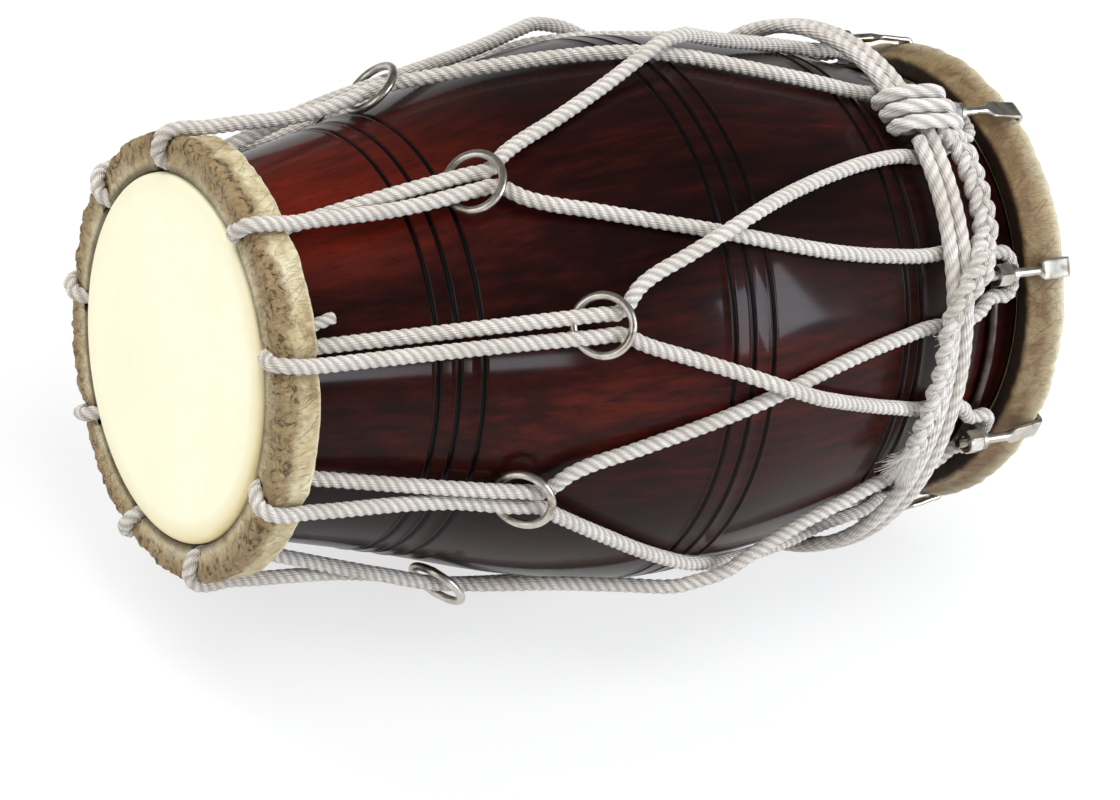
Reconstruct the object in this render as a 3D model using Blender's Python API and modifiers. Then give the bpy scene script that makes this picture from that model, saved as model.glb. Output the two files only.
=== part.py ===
"""Dholak: a two-headed barrel drum, laced with one rope and tuned with sliding rings and hook bolts.

Everything is laid out in the drum's own frame: x runs along the drum from the treble head (0) to the bass
head, r is the distance from the axis, and an angle turns about +X from +Y (0) over +Z (90). At 270 degrees
is the floor. The drum lies on its side, so one empty carries it into its rest pose.
"""

import math

import bmesh
import bpy
import numpy as np
from mathutils import Matrix, Vector

# Shell
DRUM_LENGTH = 0.460
TREBLE_RIM_R = 0.0884
BASS_RIM_R = 0.1072
BELLY_R = 0.1405
BELLY_X = 0.245
COLLAR_LENGTH = 0.022
SHELL_WALL = 0.014
MOUTH_WALL = 0.010
BORE_STATIONS = 8
GROOVE_DEPTH = 0.0015
GROOVE_WIDTH = 0.0030
TREBLE_GROOVES = (0.087, 0.097, 0.109)
BELLY_GROOVES = (-0.011, 0.0, 0.012)
BASS_GROOVES = (0.110, 0.099)

# Heads
SKIN = 0.0010
SKIRT_LENGTH = 0.018
PASTE_R = 0.046
PASTE_THICK = 0.004

# Hoops
HOOP_WIDTH = 0.021
HOOP_FRONT_X = 0.001
WRAP_THICK = 0.0032
CORE_THICK = 0.0047
TREBLE_HOOP_DEPTH = 0.0191
TREBLE_HOOP_CORNER = 0.0035
BASS_HOOP_DEPTH = 0.0178
BASS_HOOP_TAPER = 0.0050
BASS_HOOP_CORNER = 0.0030
BASS_HOOP_PROUD = 0.0005
HOOP_RIDGE = 0.0004
HOOP_LIP = 0.0006
HOOP_SLOT = 0.004

# Rope
ROPE_R = 0.0039
GAP = 0.00035
ROPE_CORNER = 0.0075
ROPE_SINK = 0.0016
LEG_SPREAD_DEG = 2.2
RING_HOLD = 0.0090
FLARE_LENGTH = 0.006
CROSSING_HALF_LENGTH = 0.012
CROSSING_LIFT_LENGTH = 0.070
CHANNEL_GAP = 0.0007
CROSSING_GAP = 0.0009

# Lacing, measured on the photograph: laces 0 to 4 show, the rest are spaced like them
LACE_DEG = (60.5, 107.5, 143.5, 183.0, 231.5, 270.0, 307.5, 343.5, 380.0)
RING_X = (0.116, 0.118, 0.160, 0.131, 0.135, 0.120, 0.138, 0.124, 0.130)
LOWER_LEG_OVER = (2,)
# How each leg runs: its flare past the ring and its distance from its hook at the belt in degrees, its ease
PLAIN_LEG = (0.0, 8.6, 1.35)
UPPER_LEGS = {1: (1.6, 12.0, 1.20), 2: (3.0, 10.9, 1.36), 3: (3.2, 9.7, 1.55)}
LOWER_LEGS = {1: (2.4, 6.4, 1.85), 2: (0.8, 12.9, 1.10)}

# Tuning rings
RING_OUTER_R = 0.0165
RING_WIRE_R = 0.0021
RING_LEAST_RISE = 0.0130
RING_TRAVEL = 0.028
RING_TRAVEL_SPARE = 0.008
RING_CLEAR = 0.022
HOOP_CLEAR = 0.010

# Anchor ring, hook bolts and nuts
HOOK_DEG = (57.0, 102.5, 143.5, 186.0, 232.0, 270.0, 307.5, 343.5, 380.0)
ANCHOR_FROM_END = 0.040
ANCHOR_ROD_R = 0.0025
LUG_THICK = 0.004
LUG_WALL = 0.0022
BOLT_R = 0.0025
BOLT_OVER_HOOP = 0.0042
BOLT_TAIL = 0.016
SHANK_AHEAD = 0.0225
HOLE_GAP = 0.00035
NUT_FLATS = 0.0112
NUT_THICK = 0.0085
STRAP_WIDTH = 0.0105
STRAP_THICK = 0.0026
STRAP_AHEAD = 0.0195
STRAP_BEND_AHEAD = 0.024
STRAP_SHOULDER = 0.002
CLAW_DEPTH = 0.009
CLAW_SHOULDER = 0.001
HOOK_LIFT = 0.0004
BIGHT_SIDE_GAP = 0.0007
BIGHT_NECK = 0.008
BIGHT_NECK_RUN = 0.012
BIGHT_ROUNDING = 0.0009
BIGHT_DIP = 0.0016
BIGHT_SHOULDER = 0.0034
BIGHT_CROWN = 0.0030
BELT_UNDER = 0.004
BELT_BULGE_DEG = 0.4
NECK_SHARE = 0.45
NECK_BULGE_DEG = 1.3

# Belt, knot and braid
BELT_FROM_END = 0.0855
BELT_TILT = 0.005
BELT_TILT_DEG = 80.0
LEG_END_BACK = 0.0045
BELT_SHIFT_DEG = 6.0
BELT_END_DEG = 6.5
BELT_STRAND_GAP = 0.0006
KNOT_DEG = 105.0
KNOT_SLANT_DEG = 1.0
KNOT_STRANDS = 3
KNOT_TURNS = 3
KNOT_POINTS = 10
KNOT_TURN_GAP = 0.0009
BRAID_R = 0.0050
# Distance from the belt, angle, and lift over the lacing
BRAID_ROUTE = (
    (0.0255, 115.8, 0.0), (0.0255, 122.0, 0.0), (0.0255, 129.0, 0.0), (0.0240, 134.0, 0.0004),
    (0.0200, 137.0, 0.0018), (0.0150, 139.0, 0.0064), (0.0090, 141.5, 0.0112), (0.0020, 144.0, 0.0114),
    (-0.0050, 147.0, 0.0112), (-0.0092, 151.0, 0.0080), (-0.0104, 156.0, 0.0066), (-0.0110, 161.0, 0.0060),
    (-0.0127, 166.0, 0.0054), (-0.0142, 171.0, 0.0050), (-0.0155, 176.0, 0.0048), (-0.0166, 181.0, 0.0050),
)
LACE_TAIL_AT = 2
LACE_TAIL_R = 0.0031
LACE_TAIL_LENGTH = 0.014
LACE_TAIL_LIFT = 0.0024
LACE_TAIL_TURN_DEG = 2.0

# Rest pose
LOW_LACES = (4, 5, 6)
TURN_STEPS = 40


def rad(deg):
    return math.radians(deg)


def place(x, r, deg):
    """A point of the drum from its distance along the axis, its radius and its angle."""
    return Vector((x, r * math.cos(rad(deg)), r * math.sin(rad(deg))))


def smooth_curve(stations, count):
    """Points along a monotone-looking cubic through (x, r) stations."""
    xs, rs = np.array(stations).T
    slopes = np.gradient(rs, xs)
    points = []
    for x in np.linspace(xs[0], xs[-1], count):
        i = min(int(np.searchsorted(xs, x, side="right")) - 1, len(xs) - 2)
        h = xs[i + 1] - xs[i]
        t = (x - xs[i]) / h
        value = (
            (2 * t**3 - 3 * t**2 + 1) * rs[i] + (t**3 - 2 * t**2 + t) * h * slopes[i]
            + (3 * t**2 - 2 * t**3) * rs[i + 1] + (t**3 - t**2) * h * slopes[i + 1]
        )
        points.append((float(x), float(value)))
    return points


TREBLE_HOOP_R = TREBLE_RIM_R + TREBLE_HOOP_DEPTH
BASS_HOOP_R = BASS_RIM_R + BASS_HOOP_DEPTH
RING_LEG_RUN = RING_TRAVEL + RING_TRAVEL_SPARE
BASS_HOOP_REAR_R = BASS_HOOP_R - BASS_HOOP_TAPER
BASS_FRONT_X = DRUM_LENGTH + BASS_HOOP_PROUD
ANCHOR_X = DRUM_LENGTH - ANCHOR_FROM_END
BOLT_AXIS_R = BASS_HOOP_R + BOLT_OVER_HOOP
BOLT_END_X = ANCHOR_X - BOLT_TAIL
SHANK_END_X = ANCHOR_X + SHANK_AHEAD
BELT_X = DRUM_LENGTH - BELT_FROM_END
GROOVES_X = (
    TREBLE_GROOVES + tuple(BELLY_X + g for g in BELLY_GROOVES) + tuple(DRUM_LENGTH - g for g in BASS_GROOVES)
)
RIM_X = SKIN + GAP
TREBLE_COLLAR_END = RIM_X + COLLAR_LENGTH
BASS_COLLAR_START = DRUM_LENGTH - RIM_X - COLLAR_LENGTH
TREBLE_RISE = BELLY_R - TREBLE_RIM_R
BASS_RISE = BELLY_R - BASS_RIM_R
TREBLE_RUN = BELLY_X - TREBLE_COLLAR_END
BASS_RUN = BASS_COLLAR_START - BELLY_X
SHELL_STATIONS = (
    (TREBLE_COLLAR_END, TREBLE_RIM_R),
    (TREBLE_COLLAR_END + 0.35 * TREBLE_RUN, TREBLE_RIM_R + 0.37 * TREBLE_RISE),
    (TREBLE_COLLAR_END + 0.70 * TREBLE_RUN, TREBLE_RIM_R + 0.79 * TREBLE_RISE),
    (BELLY_X, BELLY_R),
    (BELLY_X + 0.32 * BASS_RUN, BELLY_R - 0.14 * BASS_RISE),
    (BELLY_X + 0.63 * BASS_RUN, BELLY_R - 0.43 * BASS_RISE),
    (BASS_COLLAR_START, BASS_RIM_R),
)
PROFILE_X, PROFILE_R = np.array(
    [(RIM_X, TREBLE_RIM_R)] + smooth_curve(SHELL_STATIONS, 90) + [(DRUM_LENGTH - RIM_X, BASS_RIM_R)]
).T


def shell_r(x):
    """The shell's outer radius, grooves left out."""
    return float(np.interp(x, PROFILE_X, PROFILE_R))


def taut(points, clearance):
    """A string pulled tight over the shell from the first (x, r) point to the last one, as its upper hull."""
    first, last = points[0][0], points[-1][0]
    over = [(x, r + clearance) for x, r in zip(PROFILE_X, PROFILE_R) if first < x < last]
    hull = []
    for p in sorted(list(points) + over):
        while len(hull) > 1 and (
            (hull[-1][0] - hull[-2][0]) * (p[1] - hull[-2][1])
            - (hull[-1][1] - hull[-2][1]) * (p[0] - hull[-2][0])
        ) >= 0:
            hull.pop()
        hull.append(p)
    xs, rs = zip(*hull)
    return lambda x: float(np.interp(x, xs, rs))


# What the rope passes
ROPE_OVER = ROPE_R + 1.8 * GAP
SKIRT_R = TREBLE_RIM_R + GAP + SKIN
HOOP_REAR_X = HOOP_FRONT_X + HOOP_WIDTH
INNER_ROPE_R = SKIRT_R + GAP + ROPE_R
OUTER_ROPE_R = TREBLE_HOOP_R + GAP + ROPE_R - ROPE_SINK
FRONT_ROPE_X = HOOP_FRONT_X - GAP - ROPE_R + ROPE_SINK
LUG_HALF = BOLT_R + HOLE_GAP + LUG_WALL
BIGHT_X = ANCHOR_X + LUG_THICK / 2 + 3 * GAP + ROPE_R
ROD_CENTRE_R = shell_r(ANCHOR_X) + GAP + ANCHOR_ROD_R
BIGHT_ROPE_R = ROD_CENTRE_R + ANCHOR_ROD_R + 3.5 * GAP + ROPE_R
BIGHT_HALF_WIDTH = NUT_FLATS / math.sqrt(3) + BIGHT_SIDE_GAP + ROPE_R
LEG_ANCHOR_X = ANCHOR_X - BIGHT_NECK
BELT_ROPE_X = BELT_X - LEG_END_BACK
BELT_LACING_R = shell_r(BELT_X) + ROPE_OVER
STRAND_STEP = 2 * ROPE_R + BELT_STRAND_GAP


def bight_deg(half_width):
    return math.degrees(half_width / BIGHT_ROPE_R)


def belt_line(deg):
    """(x, r) of the middle of the belt's two turns, which lie a little aslant, over the lacing."""
    x = BELT_X + BELT_TILT * math.cos(rad(deg - BELT_TILT_DEG))
    return x, shell_r(x - 3 * ROPE_R) + ROPE_OVER + 2 * ROPE_R + 2 * GAP


def ring_place(lace):
    """(x, r) of the ring's centre: the mean of a string over the hoop and one from under it."""
    x = RING_X[lace]
    end = (BELT_X, BELT_LACING_R)
    over = taut([(HOOP_REAR_X, OUTER_ROPE_R), end], ROPE_OVER)
    under = taut([(HOOP_REAR_X, INNER_ROPE_R), end], ROPE_OVER)
    return x, max((over(x) + under(x)) / 2, shell_r(x - RING_OUTER_R / 2) + RING_LEAST_RISE)


def ring_back(lace):
    """Where the pair of legs starts to run side by side, level over the shell, for the ring to slide on."""
    x, r = ring_place(lace)
    under = x - RING_OUTER_R / 2
    return x - RING_LEG_RUN, r - shell_r(under) + shell_r(under - RING_LEG_RUN)


def crossing(lace):
    """(x, angle) where the lower leg of one lace meets the upper leg of the next."""
    low = leg_angle(lace, +1)
    high = leg_angle((lace + 1) % 9, -1)
    turn = 360.0 if lace == 8 else 0.0
    xs = np.linspace(max(RING_X[lace], RING_X[(lace + 1) % 9]) + 0.01, BELT_ROPE_X, 400)
    gaps = [abs(low(x) - high(x) - turn) for x in xs]
    x = float(xs[int(np.argmin(gaps))])
    return x, low(x)


def leg_run(lace, side):
    """(flare, distance from the hook at the belt, ease) of one leg."""
    return (LOWER_LEGS if side > 0 else UPPER_LEGS).get(lace, PLAIN_LEG)


def leg_angle(lace, side):
    """The angle of a leg as a function of x, from its ring to the belt."""
    flare, from_hook, ease = leg_run(lace, side)
    start = LACE_DEG[lace] + side * (LEG_SPREAD_DEG + flare)
    hook = lace + side
    turn = 360.0 * (hook // 9)
    end = HOOK_DEG[hook % 9] + turn - side * from_hook
    free = RING_X[lace] + RING_HOLD

    def angle(x):
        t = min(max((x - free) / (BELT_ROPE_X - free), 0.0), 1.0)
        pinch = flare * math.exp(-max(x - free, 0.0) / FLARE_LENGTH)
        return start + (end - start) * (1 - (1 - t) ** ease) - side * pinch

    return angle


def leg(lace, side):
    """One leg's centre line, from behind the hoop through the ring and over the belly to the belt."""
    angle = leg_angle(lace, side)
    ring = ring_place(lace)
    hoop_r = OUTER_ROPE_R if side > 0 else INNER_ROPE_R
    after = taut([ring, (BELT_X, BELT_LACING_R)], ROPE_OVER)
    cross = lace if side > 0 else (lace - 1) % 9
    over = (side > 0) == (cross in LOWER_LEG_OVER)
    cross_x = crossing(cross)[0]
    back = ring_back(lace)
    share = HOOP_CLEAR / (back[0] - HOOP_REAR_X)
    points = [place(HOOP_REAR_X + HOOP_CLEAR, hoop_r + (back[1] - hoop_r) * share, angle(0.0))]
    points += [place(*spot, angle(0.0)) for spot in (back, ring)]
    stops = sorted(
        list(np.linspace(ring[0] + RING_CLEAR, BELT_ROPE_X, 8))
        + [ring[0] + RING_HOLD, cross_x - CROSSING_HALF_LENGTH, cross_x + CROSSING_HALF_LENGTH]
    )
    for x in stops:
        lift = 0.0
        if over:
            away = max(abs(x - cross_x) - CROSSING_HALF_LENGTH, 0.0) / CROSSING_LIFT_LENGTH
            lift = (2 * ROPE_R + CROSSING_GAP) * max(1.0 - away, 0.0) ** 2
        points.append(place(x, after(x) + lift, angle(x)))
    return points


def round_hoop(lace):
    """The rope's turn round the treble hoop: in under it, round its front and back over its outer side."""
    corner = ROPE_CORNER
    section = [(HOOP_REAR_X, INNER_ROPE_R), (FRONT_ROPE_X + corner, INNER_ROPE_R)]
    for a in (225.0, 180.0):
        section.append((
            FRONT_ROPE_X + corner + corner * math.cos(rad(a)),
            INNER_ROPE_R + corner + corner * math.sin(rad(a)),
        ))
    outer_corner = (FRONT_ROPE_X + corner, OUTER_ROPE_R - corner)
    for a in (180.0, 135.0, 90.0):
        section.append((
            outer_corner[0] + corner * math.cos(rad(a)),
            outer_corner[1] + corner * math.sin(rad(a)),
        ))
    section.append((HOOP_REAR_X, OUTER_ROPE_R))
    share = np.linspace(-1.0, 1.0, len(section))
    return [
        place(x, r, LACE_DEG[lace] + LEG_SPREAD_DEG * s) for (x, r), s in zip(section, share)
    ]


def half_bight(hook, side):
    """The rope from the belt to the lug of one hook, up to the bight's apex, on one side of it."""
    hook_deg = HOOK_DEG[hook % 9]
    from_hook = leg_run((hook + side) % 9, -side)[1]
    neck_deg = bight_deg(BIGHT_HALF_WIDTH)
    middle_deg = neck_deg + (from_hook - neck_deg) * NECK_SHARE + NECK_BULGE_DEG
    shoulder_deg = bight_deg(BIGHT_HALF_WIDTH - BIGHT_SHOULDER)
    stations = (
        (BELT_X + BELT_UNDER, BELT_LACING_R, from_hook + BELT_BULGE_DEG),
        (LEG_ANCHOR_X - BIGHT_NECK_RUN, (BELT_LACING_R + BIGHT_ROPE_R) / 2, middle_deg),
        (LEG_ANCHOR_X, BIGHT_ROPE_R, neck_deg),
        (ANCHOR_X + LUG_THICK / 2, BIGHT_ROPE_R, neck_deg),
        (BIGHT_X - BIGHT_ROUNDING, BIGHT_ROPE_R - BIGHT_DIP / 2, shoulder_deg),
        (BIGHT_X + BIGHT_ROUNDING, BIGHT_ROPE_R - BIGHT_DIP, bight_deg(BIGHT_CROWN)),
    )
    return [place(x, r, hook_deg + side * d) for x, r, d in stations]


def lacing_route():
    """The one rope's route: it steps on by two laces each time, so it covers all nine in two rounds."""
    route = []
    lace = 0
    for step in range(9):
        route += list(reversed(half_bight(lace - 1, +1))) if step else end_bight(lace - 1, +1)
        route += list(reversed(leg(lace, -1)))
        route += round_hoop(lace)
        route += leg(lace, +1)
        route += half_bight(lace + 1, -1) if step < 8 else list(reversed(end_bight(lace + 1, -1)))
        lace = (lace + 2) % 9
    return route


def end_bight(hook, side):
    """Like half_bight, but it stops beside the lug: the rope's own end, knotted off there."""
    return list(reversed(half_bight(hook, side)))[2:]


# Scene helpers

def clear_scene():
    for obj in list(bpy.data.objects):
        bpy.data.objects.remove(obj, do_unlink=True)


def collection(name):
    made = bpy.data.collections.new(name)
    bpy.context.scene.collection.children.link(made)
    return made


def material(name, colour, roughness, metallic=0.0):
    made = bpy.data.materials.new(name)
    made.use_nodes = True
    made.diffuse_color = (*colour, 1.0)
    shader = made.node_tree.nodes["Principled BSDF"]
    shader.inputs["Base Color"].default_value = (*colour, 1.0)
    shader.inputs["Roughness"].default_value = roughness
    shader.inputs["Metallic"].default_value = metallic
    return made


def add(name, mesh, mat, parent, group):
    obj = bpy.data.objects.new(name, mesh)
    if mat is not None and not mesh.materials:
        mesh.materials.append(mat)
    obj.parent = parent
    group.objects.link(obj)
    return obj


def turned(name, profile, mat, closed=True, steps=TURN_STEPS):
    """A ring or disc turned about the drum's axis from (x, r) points, as a profile with a Screw modifier."""
    area = sum(
        a[1] * b[0] - b[1] * a[0] for a, b in zip(profile, list(profile[1:]) + [profile[0]])
    )
    points = list(profile) if area < 0 else list(reversed(profile))
    mesh = bpy.data.meshes.new(name)
    edges = [(i, i + 1) for i in range(len(points) - 1)]
    if closed:
        edges.append((len(points) - 1, 0))
    mesh.from_pydata([(r, 0.0, x) for x, r in points], edges, [])
    obj = add(name, mesh, mat, drum, parts)
    obj.rotation_euler = (0.0, math.pi / 2, 0.0)
    screw = obj.modifiers.new("turn", "SCREW")
    screw.axis = "Z"
    screw.steps = steps
    screw.render_steps = steps
    screw.use_merge_vertices = True
    screw.merge_threshold = 0.00001
    screw.use_smooth_shade = True
    return obj


def tube_curve(name, points, radius, sides_step=1, closed=False):
    curve = bpy.data.curves.new(name, "CURVE")
    curve.dimensions = "3D"
    curve.bevel_depth = radius
    curve.bevel_resolution = sides_step
    curve.use_fill_caps = not closed
    curve.twist_mode = "MINIMUM"
    spline = curve.splines.new("POLY")
    spline.points.add(len(points) - 1)
    for target, p in zip(spline.points, points):
        target.co = (*p, 1.0)
    spline.use_cyclic_u = closed
    return curve


def tube(name, points, radius, mat, parent, sides_step=1, closed=False):
    return add(name, tube_curve(name, points, radius, sides_step, closed), mat, parent, parts)


def as_mesh(curve, name):
    """A curve's evaluated tube as a closed mesh, its caps welded."""
    holder = bpy.data.objects.new(name, curve)
    cutters.objects.link(holder)
    graph = bpy.context.evaluated_depsgraph_get()
    mesh = bpy.data.meshes.new_from_object(holder.evaluated_get(graph))
    bpy.data.objects.remove(holder)
    work = bmesh.new()
    work.from_mesh(mesh)
    bmesh.ops.remove_doubles(work, verts=work.verts, dist=0.00001)
    bmesh.ops.recalc_face_normals(work, faces=work.faces)
    work.to_mesh(mesh)
    work.free()
    return mesh


def joined_mesh(name, meshes):
    work = bmesh.new()
    for mesh in meshes:
        work.from_mesh(mesh)
    mesh = bpy.data.meshes.new(name)
    work.to_mesh(mesh)
    work.free()
    return mesh


def solid(name, build):
    mesh = bpy.data.meshes.new(name)
    work = bmesh.new()
    build(work)
    bmesh.ops.recalc_face_normals(work, faces=work.faces)
    work.to_mesh(mesh)
    work.free()
    return mesh


def cutter(name, mesh):
    obj = add(name, mesh, None, drum, cutters)
    obj.hide_render = True
    obj.display_type = "WIRE"
    return obj


def boolean(obj, other, operation, name):
    modifier = obj.modifiers.new(name, "BOOLEAN")
    modifier.operation = operation
    modifier.solver = "EXACT"
    modifier.object = other


clear_scene()
parts = collection("dholak")
cutters = collection("dholak_cutters")
drum = bpy.data.objects.new("drum_rest_pose", None)
parts.objects.link(drum)

wood = material("lacquered_wood", (0.075, 0.012, 0.008), 0.22)
head_skin = material("head_skin", (0.86, 0.83, 0.66), 0.55)
rawhide = material("rawhide", (0.52, 0.40, 0.22), 0.60)
cane = material("cane_core", (0.42, 0.30, 0.16), 0.70)
cotton = material("cotton_rope", (0.74, 0.68, 0.62), 0.85)
nickel = material("nickel_steel", (0.62, 0.60, 0.56), 0.28, 1.0)
iron = material("black_iron", (0.10, 0.09, 0.09), 0.50, 0.9)
paste = material("tuning_paste", (0.06, 0.05, 0.05), 0.90)


# Barrel shell: one hollow block, turned, with V grooves in three sets
def shell_profile():
    outer = [(RIM_X, TREBLE_RIM_R), (TREBLE_COLLAR_END, TREBLE_RIM_R)]
    body = [(x, shell_r(x)) for x in np.linspace(TREBLE_COLLAR_END, BASS_COLLAR_START, 14)[1:-1]]
    half = GROOVE_WIDTH / 2
    body = [p for p in body if all(abs(p[0] - g) > 2 * half for g in GROOVES_X)]
    for g in GROOVES_X:
        body += [(g - half, shell_r(g - half)), (g, shell_r(g) - GROOVE_DEPTH), (g + half, shell_r(g + half))]
    outer += sorted(body)
    outer += [(BASS_COLLAR_START, BASS_RIM_R), (DRUM_LENGTH - RIM_X, BASS_RIM_R)]
    inner = [(DRUM_LENGTH - RIM_X, BASS_RIM_R - MOUTH_WALL)]
    bore = np.linspace(BASS_COLLAR_START, TREBLE_COLLAR_END, BORE_STATIONS)
    inner += [(x, shell_r(x) - SHELL_WALL) for x in bore]
    inner += [(RIM_X, TREBLE_RIM_R - MOUTH_WALL)]
    return outer + inner


turned("barrel_shell", shell_profile(), wood)


# Head skins: a thin disc with a skirt lapped down the shell's collar
def skin_profile(front_x, sign, rim_r):
    back = front_x + sign * SKIRT_LENGTH
    inner = rim_r + GAP
    return [
        (front_x, 0.0), (front_x, inner + SKIN), (back, inner + SKIN),
        (back, inner), (front_x + sign * SKIN, inner), (front_x + sign * SKIN, 0.0),
    ]


turned("treble_head_skin", skin_profile(0.0, 1, TREBLE_RIM_R), head_skin, closed=False)
turned("bass_head_skin", skin_profile(DRUM_LENGTH, -1, BASS_RIM_R), head_skin, closed=False)

# Tuning paste, stuck to the bass skin's inner side
PASTE_FACE_X = DRUM_LENGTH - SKIN - GAP
turned("bass_tuning_paste", [
    (PASTE_FACE_X, 0.0), (PASTE_FACE_X, PASTE_R),
    (PASTE_FACE_X - PASTE_THICK, PASTE_R * 0.8), (PASTE_FACE_X - PASTE_THICK, 0.0),
], paste, closed=False, steps=24)


# Treble hoop: a flat cane core in a rawhide wrap, with a channel for the rope at each lace
CAVITY_R = TREBLE_HOOP_R - WRAP_THICK
CORE_OUT_R = CAVITY_R - GAP
CORE_IN_R = CORE_OUT_R - CORE_THICK
WRAP_IN_R = SKIRT_R + 2 * GAP
INNER_WALL_R = WRAP_IN_R + WRAP_THICK
CORE_FRONT_X = HOOP_FRONT_X + WRAP_THICK + GAP
CORE_REAR_X = HOOP_REAR_X - WRAP_THICK - GAP
turned("treble_hoop_core", [
    (CORE_FRONT_X, CORE_OUT_R), (CORE_REAR_X, CORE_OUT_R),
    (CORE_REAR_X, CORE_IN_R), (CORE_FRONT_X, CORE_IN_R),
], cane)


def wrap_profile(front_x, sign, out_front, out_rear, in_r, wall, slot_low, slot_high, corner):
    """The C-shaped section of a hide wrap: closed at the front, with a slot along its rear side."""
    rear_x = front_x + sign * HOOP_WIDTH
    f, r = front_x + sign * wall, rear_x - sign * wall
    return [
        (front_x, in_r + corner), (front_x, out_front - corner), (front_x + sign * corner, out_front),
        (rear_x - sign * corner, out_rear + HOOP_RIDGE), (rear_x, out_rear - corner), (rear_x, slot_high),
        (r, slot_high), (r, out_rear - wall), (f, out_front - wall),
        (f, in_r + wall), (r, in_r + wall), (r, slot_low), (rear_x, slot_low),
        (rear_x, in_r), (front_x + sign * corner, in_r),
    ]


treble_wrap = turned("treble_hoop_wrap", wrap_profile(
    HOOP_FRONT_X, 1, TREBLE_HOOP_R, TREBLE_HOOP_R, WRAP_IN_R, WRAP_THICK,
    INNER_WALL_R + HOOP_LIP, INNER_WALL_R + HOOP_LIP + HOOP_SLOT, TREBLE_HOOP_CORNER,
), rawhide)


def rope_channel(k):
    points = [leg(k, -1)[0]] + round_hoop(k) + [leg(k, +1)[0]]
    return as_mesh(tube_curve("channel", points, ROPE_R + CHANNEL_GAP, 2), "channel")


channels = cutter("rope_channels", joined_mesh("rope_channels", [rope_channel(k) for k in range(9)]))
boolean(treble_wrap, channels, "DIFFERENCE", "rope channels")

# Bass hoop: tapered, wider at its front
BASS_WRAP_IN_R = BASS_RIM_R + GAP + SKIN + GAP
BASS_INNER_WALL_R = BASS_WRAP_IN_R + WRAP_THICK
BASS_CORE_IN_R = BASS_INNER_WALL_R + GAP
BASS_CORE_OUT_R = BASS_HOOP_REAR_R - WRAP_THICK - 2 * GAP
turned("bass_hoop_core", [
    (BASS_FRONT_X - WRAP_THICK - GAP, BASS_CORE_OUT_R), (BASS_FRONT_X - WRAP_THICK - GAP, BASS_CORE_IN_R),
    (BASS_FRONT_X - HOOP_WIDTH + WRAP_THICK + GAP, BASS_CORE_IN_R),
    (BASS_FRONT_X - HOOP_WIDTH + WRAP_THICK + GAP, BASS_CORE_OUT_R),
], cane)
turned("bass_hoop_wrap", wrap_profile(
    BASS_FRONT_X, -1, BASS_HOOP_R, BASS_HOOP_REAR_R, BASS_WRAP_IN_R, WRAP_THICK,
    BASS_INNER_WALL_R + HOOP_LIP, BASS_INNER_WALL_R + HOOP_LIP + HOOP_SLOT, BASS_HOOP_CORNER,
), rawhide)


# Anchor ring: an iron rod ring round the shell with a drilled lug for each hook bolt
def lug_mesh():
    inner, outer = ROD_CENTRE_R, BOLT_AXIS_R + BOLT_R + HOLE_GAP + LUG_WALL
    size = Vector((LUG_THICK, 2 * LUG_HALF, outer - inner))
    shape = Matrix.Translation((ANCHOR_X, 0.0, (inner + outer) / 2)) @ Matrix.Diagonal((*size, 1.0))
    return solid("lug", lambda work: bmesh.ops.create_cube(work, size=1.0, matrix=shape))


def about_axis(deg):
    """Turns a piece modelled at the top of the drum (90 degrees) to another angle."""
    return Matrix.Rotation(rad(deg - 90.0), 4, "X")


def bolt_cylinder(name, radius, x0, x1, sides):
    shape = Matrix.Translation(((x0 + x1) / 2, 0.0, BOLT_AXIS_R)) @ Matrix.Rotation(math.pi / 2, 4, "Y")
    return solid(name, lambda work: bmesh.ops.create_cone(
        work, cap_ends=True, segments=sides, radius1=radius, radius2=radius, depth=x1 - x0, matrix=shape,
    ))


def copies(mesh, angles):
    made = []
    for deg in angles:
        one = mesh.copy()
        one.transform(about_axis(deg))
        made.append(one)
    return made


rod_points = [
    (ANCHOR_X + ANCHOR_ROD_R * math.cos(rad(a)), ROD_CENTRE_R + ANCHOR_ROD_R * math.sin(rad(a)))
    for a in range(30, 390, 60)
]
anchor = turned("anchor_ring", rod_points, iron)
lugs = cutter("anchor_lugs", joined_mesh("anchor_lugs", copies(lug_mesh(), HOOK_DEG)))
boolean(anchor, lugs, "UNION", "lugs")
HOLE_R = BOLT_R + HOLE_GAP
bolt_holes = cutter("anchor_bolt_holes", joined_mesh("anchor_bolt_holes", copies(
    bolt_cylinder("hole", HOLE_R, ANCHOR_X - 2 * LUG_THICK, ANCHOR_X + 2 * LUG_THICK, 12), HOOK_DEG
)))
boolean(anchor, bolt_holes, "DIFFERENCE", "bolt holes")

# Lacing: one rope through everything
tube("lacing_rope", lacing_route(), ROPE_R, cotton, drum)


def lacing_tail_point(share):
    x = HOOP_REAR_X + 3 * GAP + share * LACE_TAIL_LENGTH
    r = shell_r(HOOP_REAR_X + LACE_TAIL_LENGTH) + ROPE_OVER + share * LACE_TAIL_LIFT
    beside = math.degrees((2 * ROPE_R + 3 * GAP) / INNER_ROPE_R)
    return place(x, r, LACE_DEG[LACE_TAIL_AT] - LEG_SPREAD_DEG - beside - share * LACE_TAIL_TURN_DEG)


tube("lacing_tail", [lacing_tail_point(share) for share in (0.0, 0.5, 1.0)], LACE_TAIL_R, cotton, drum)


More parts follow.
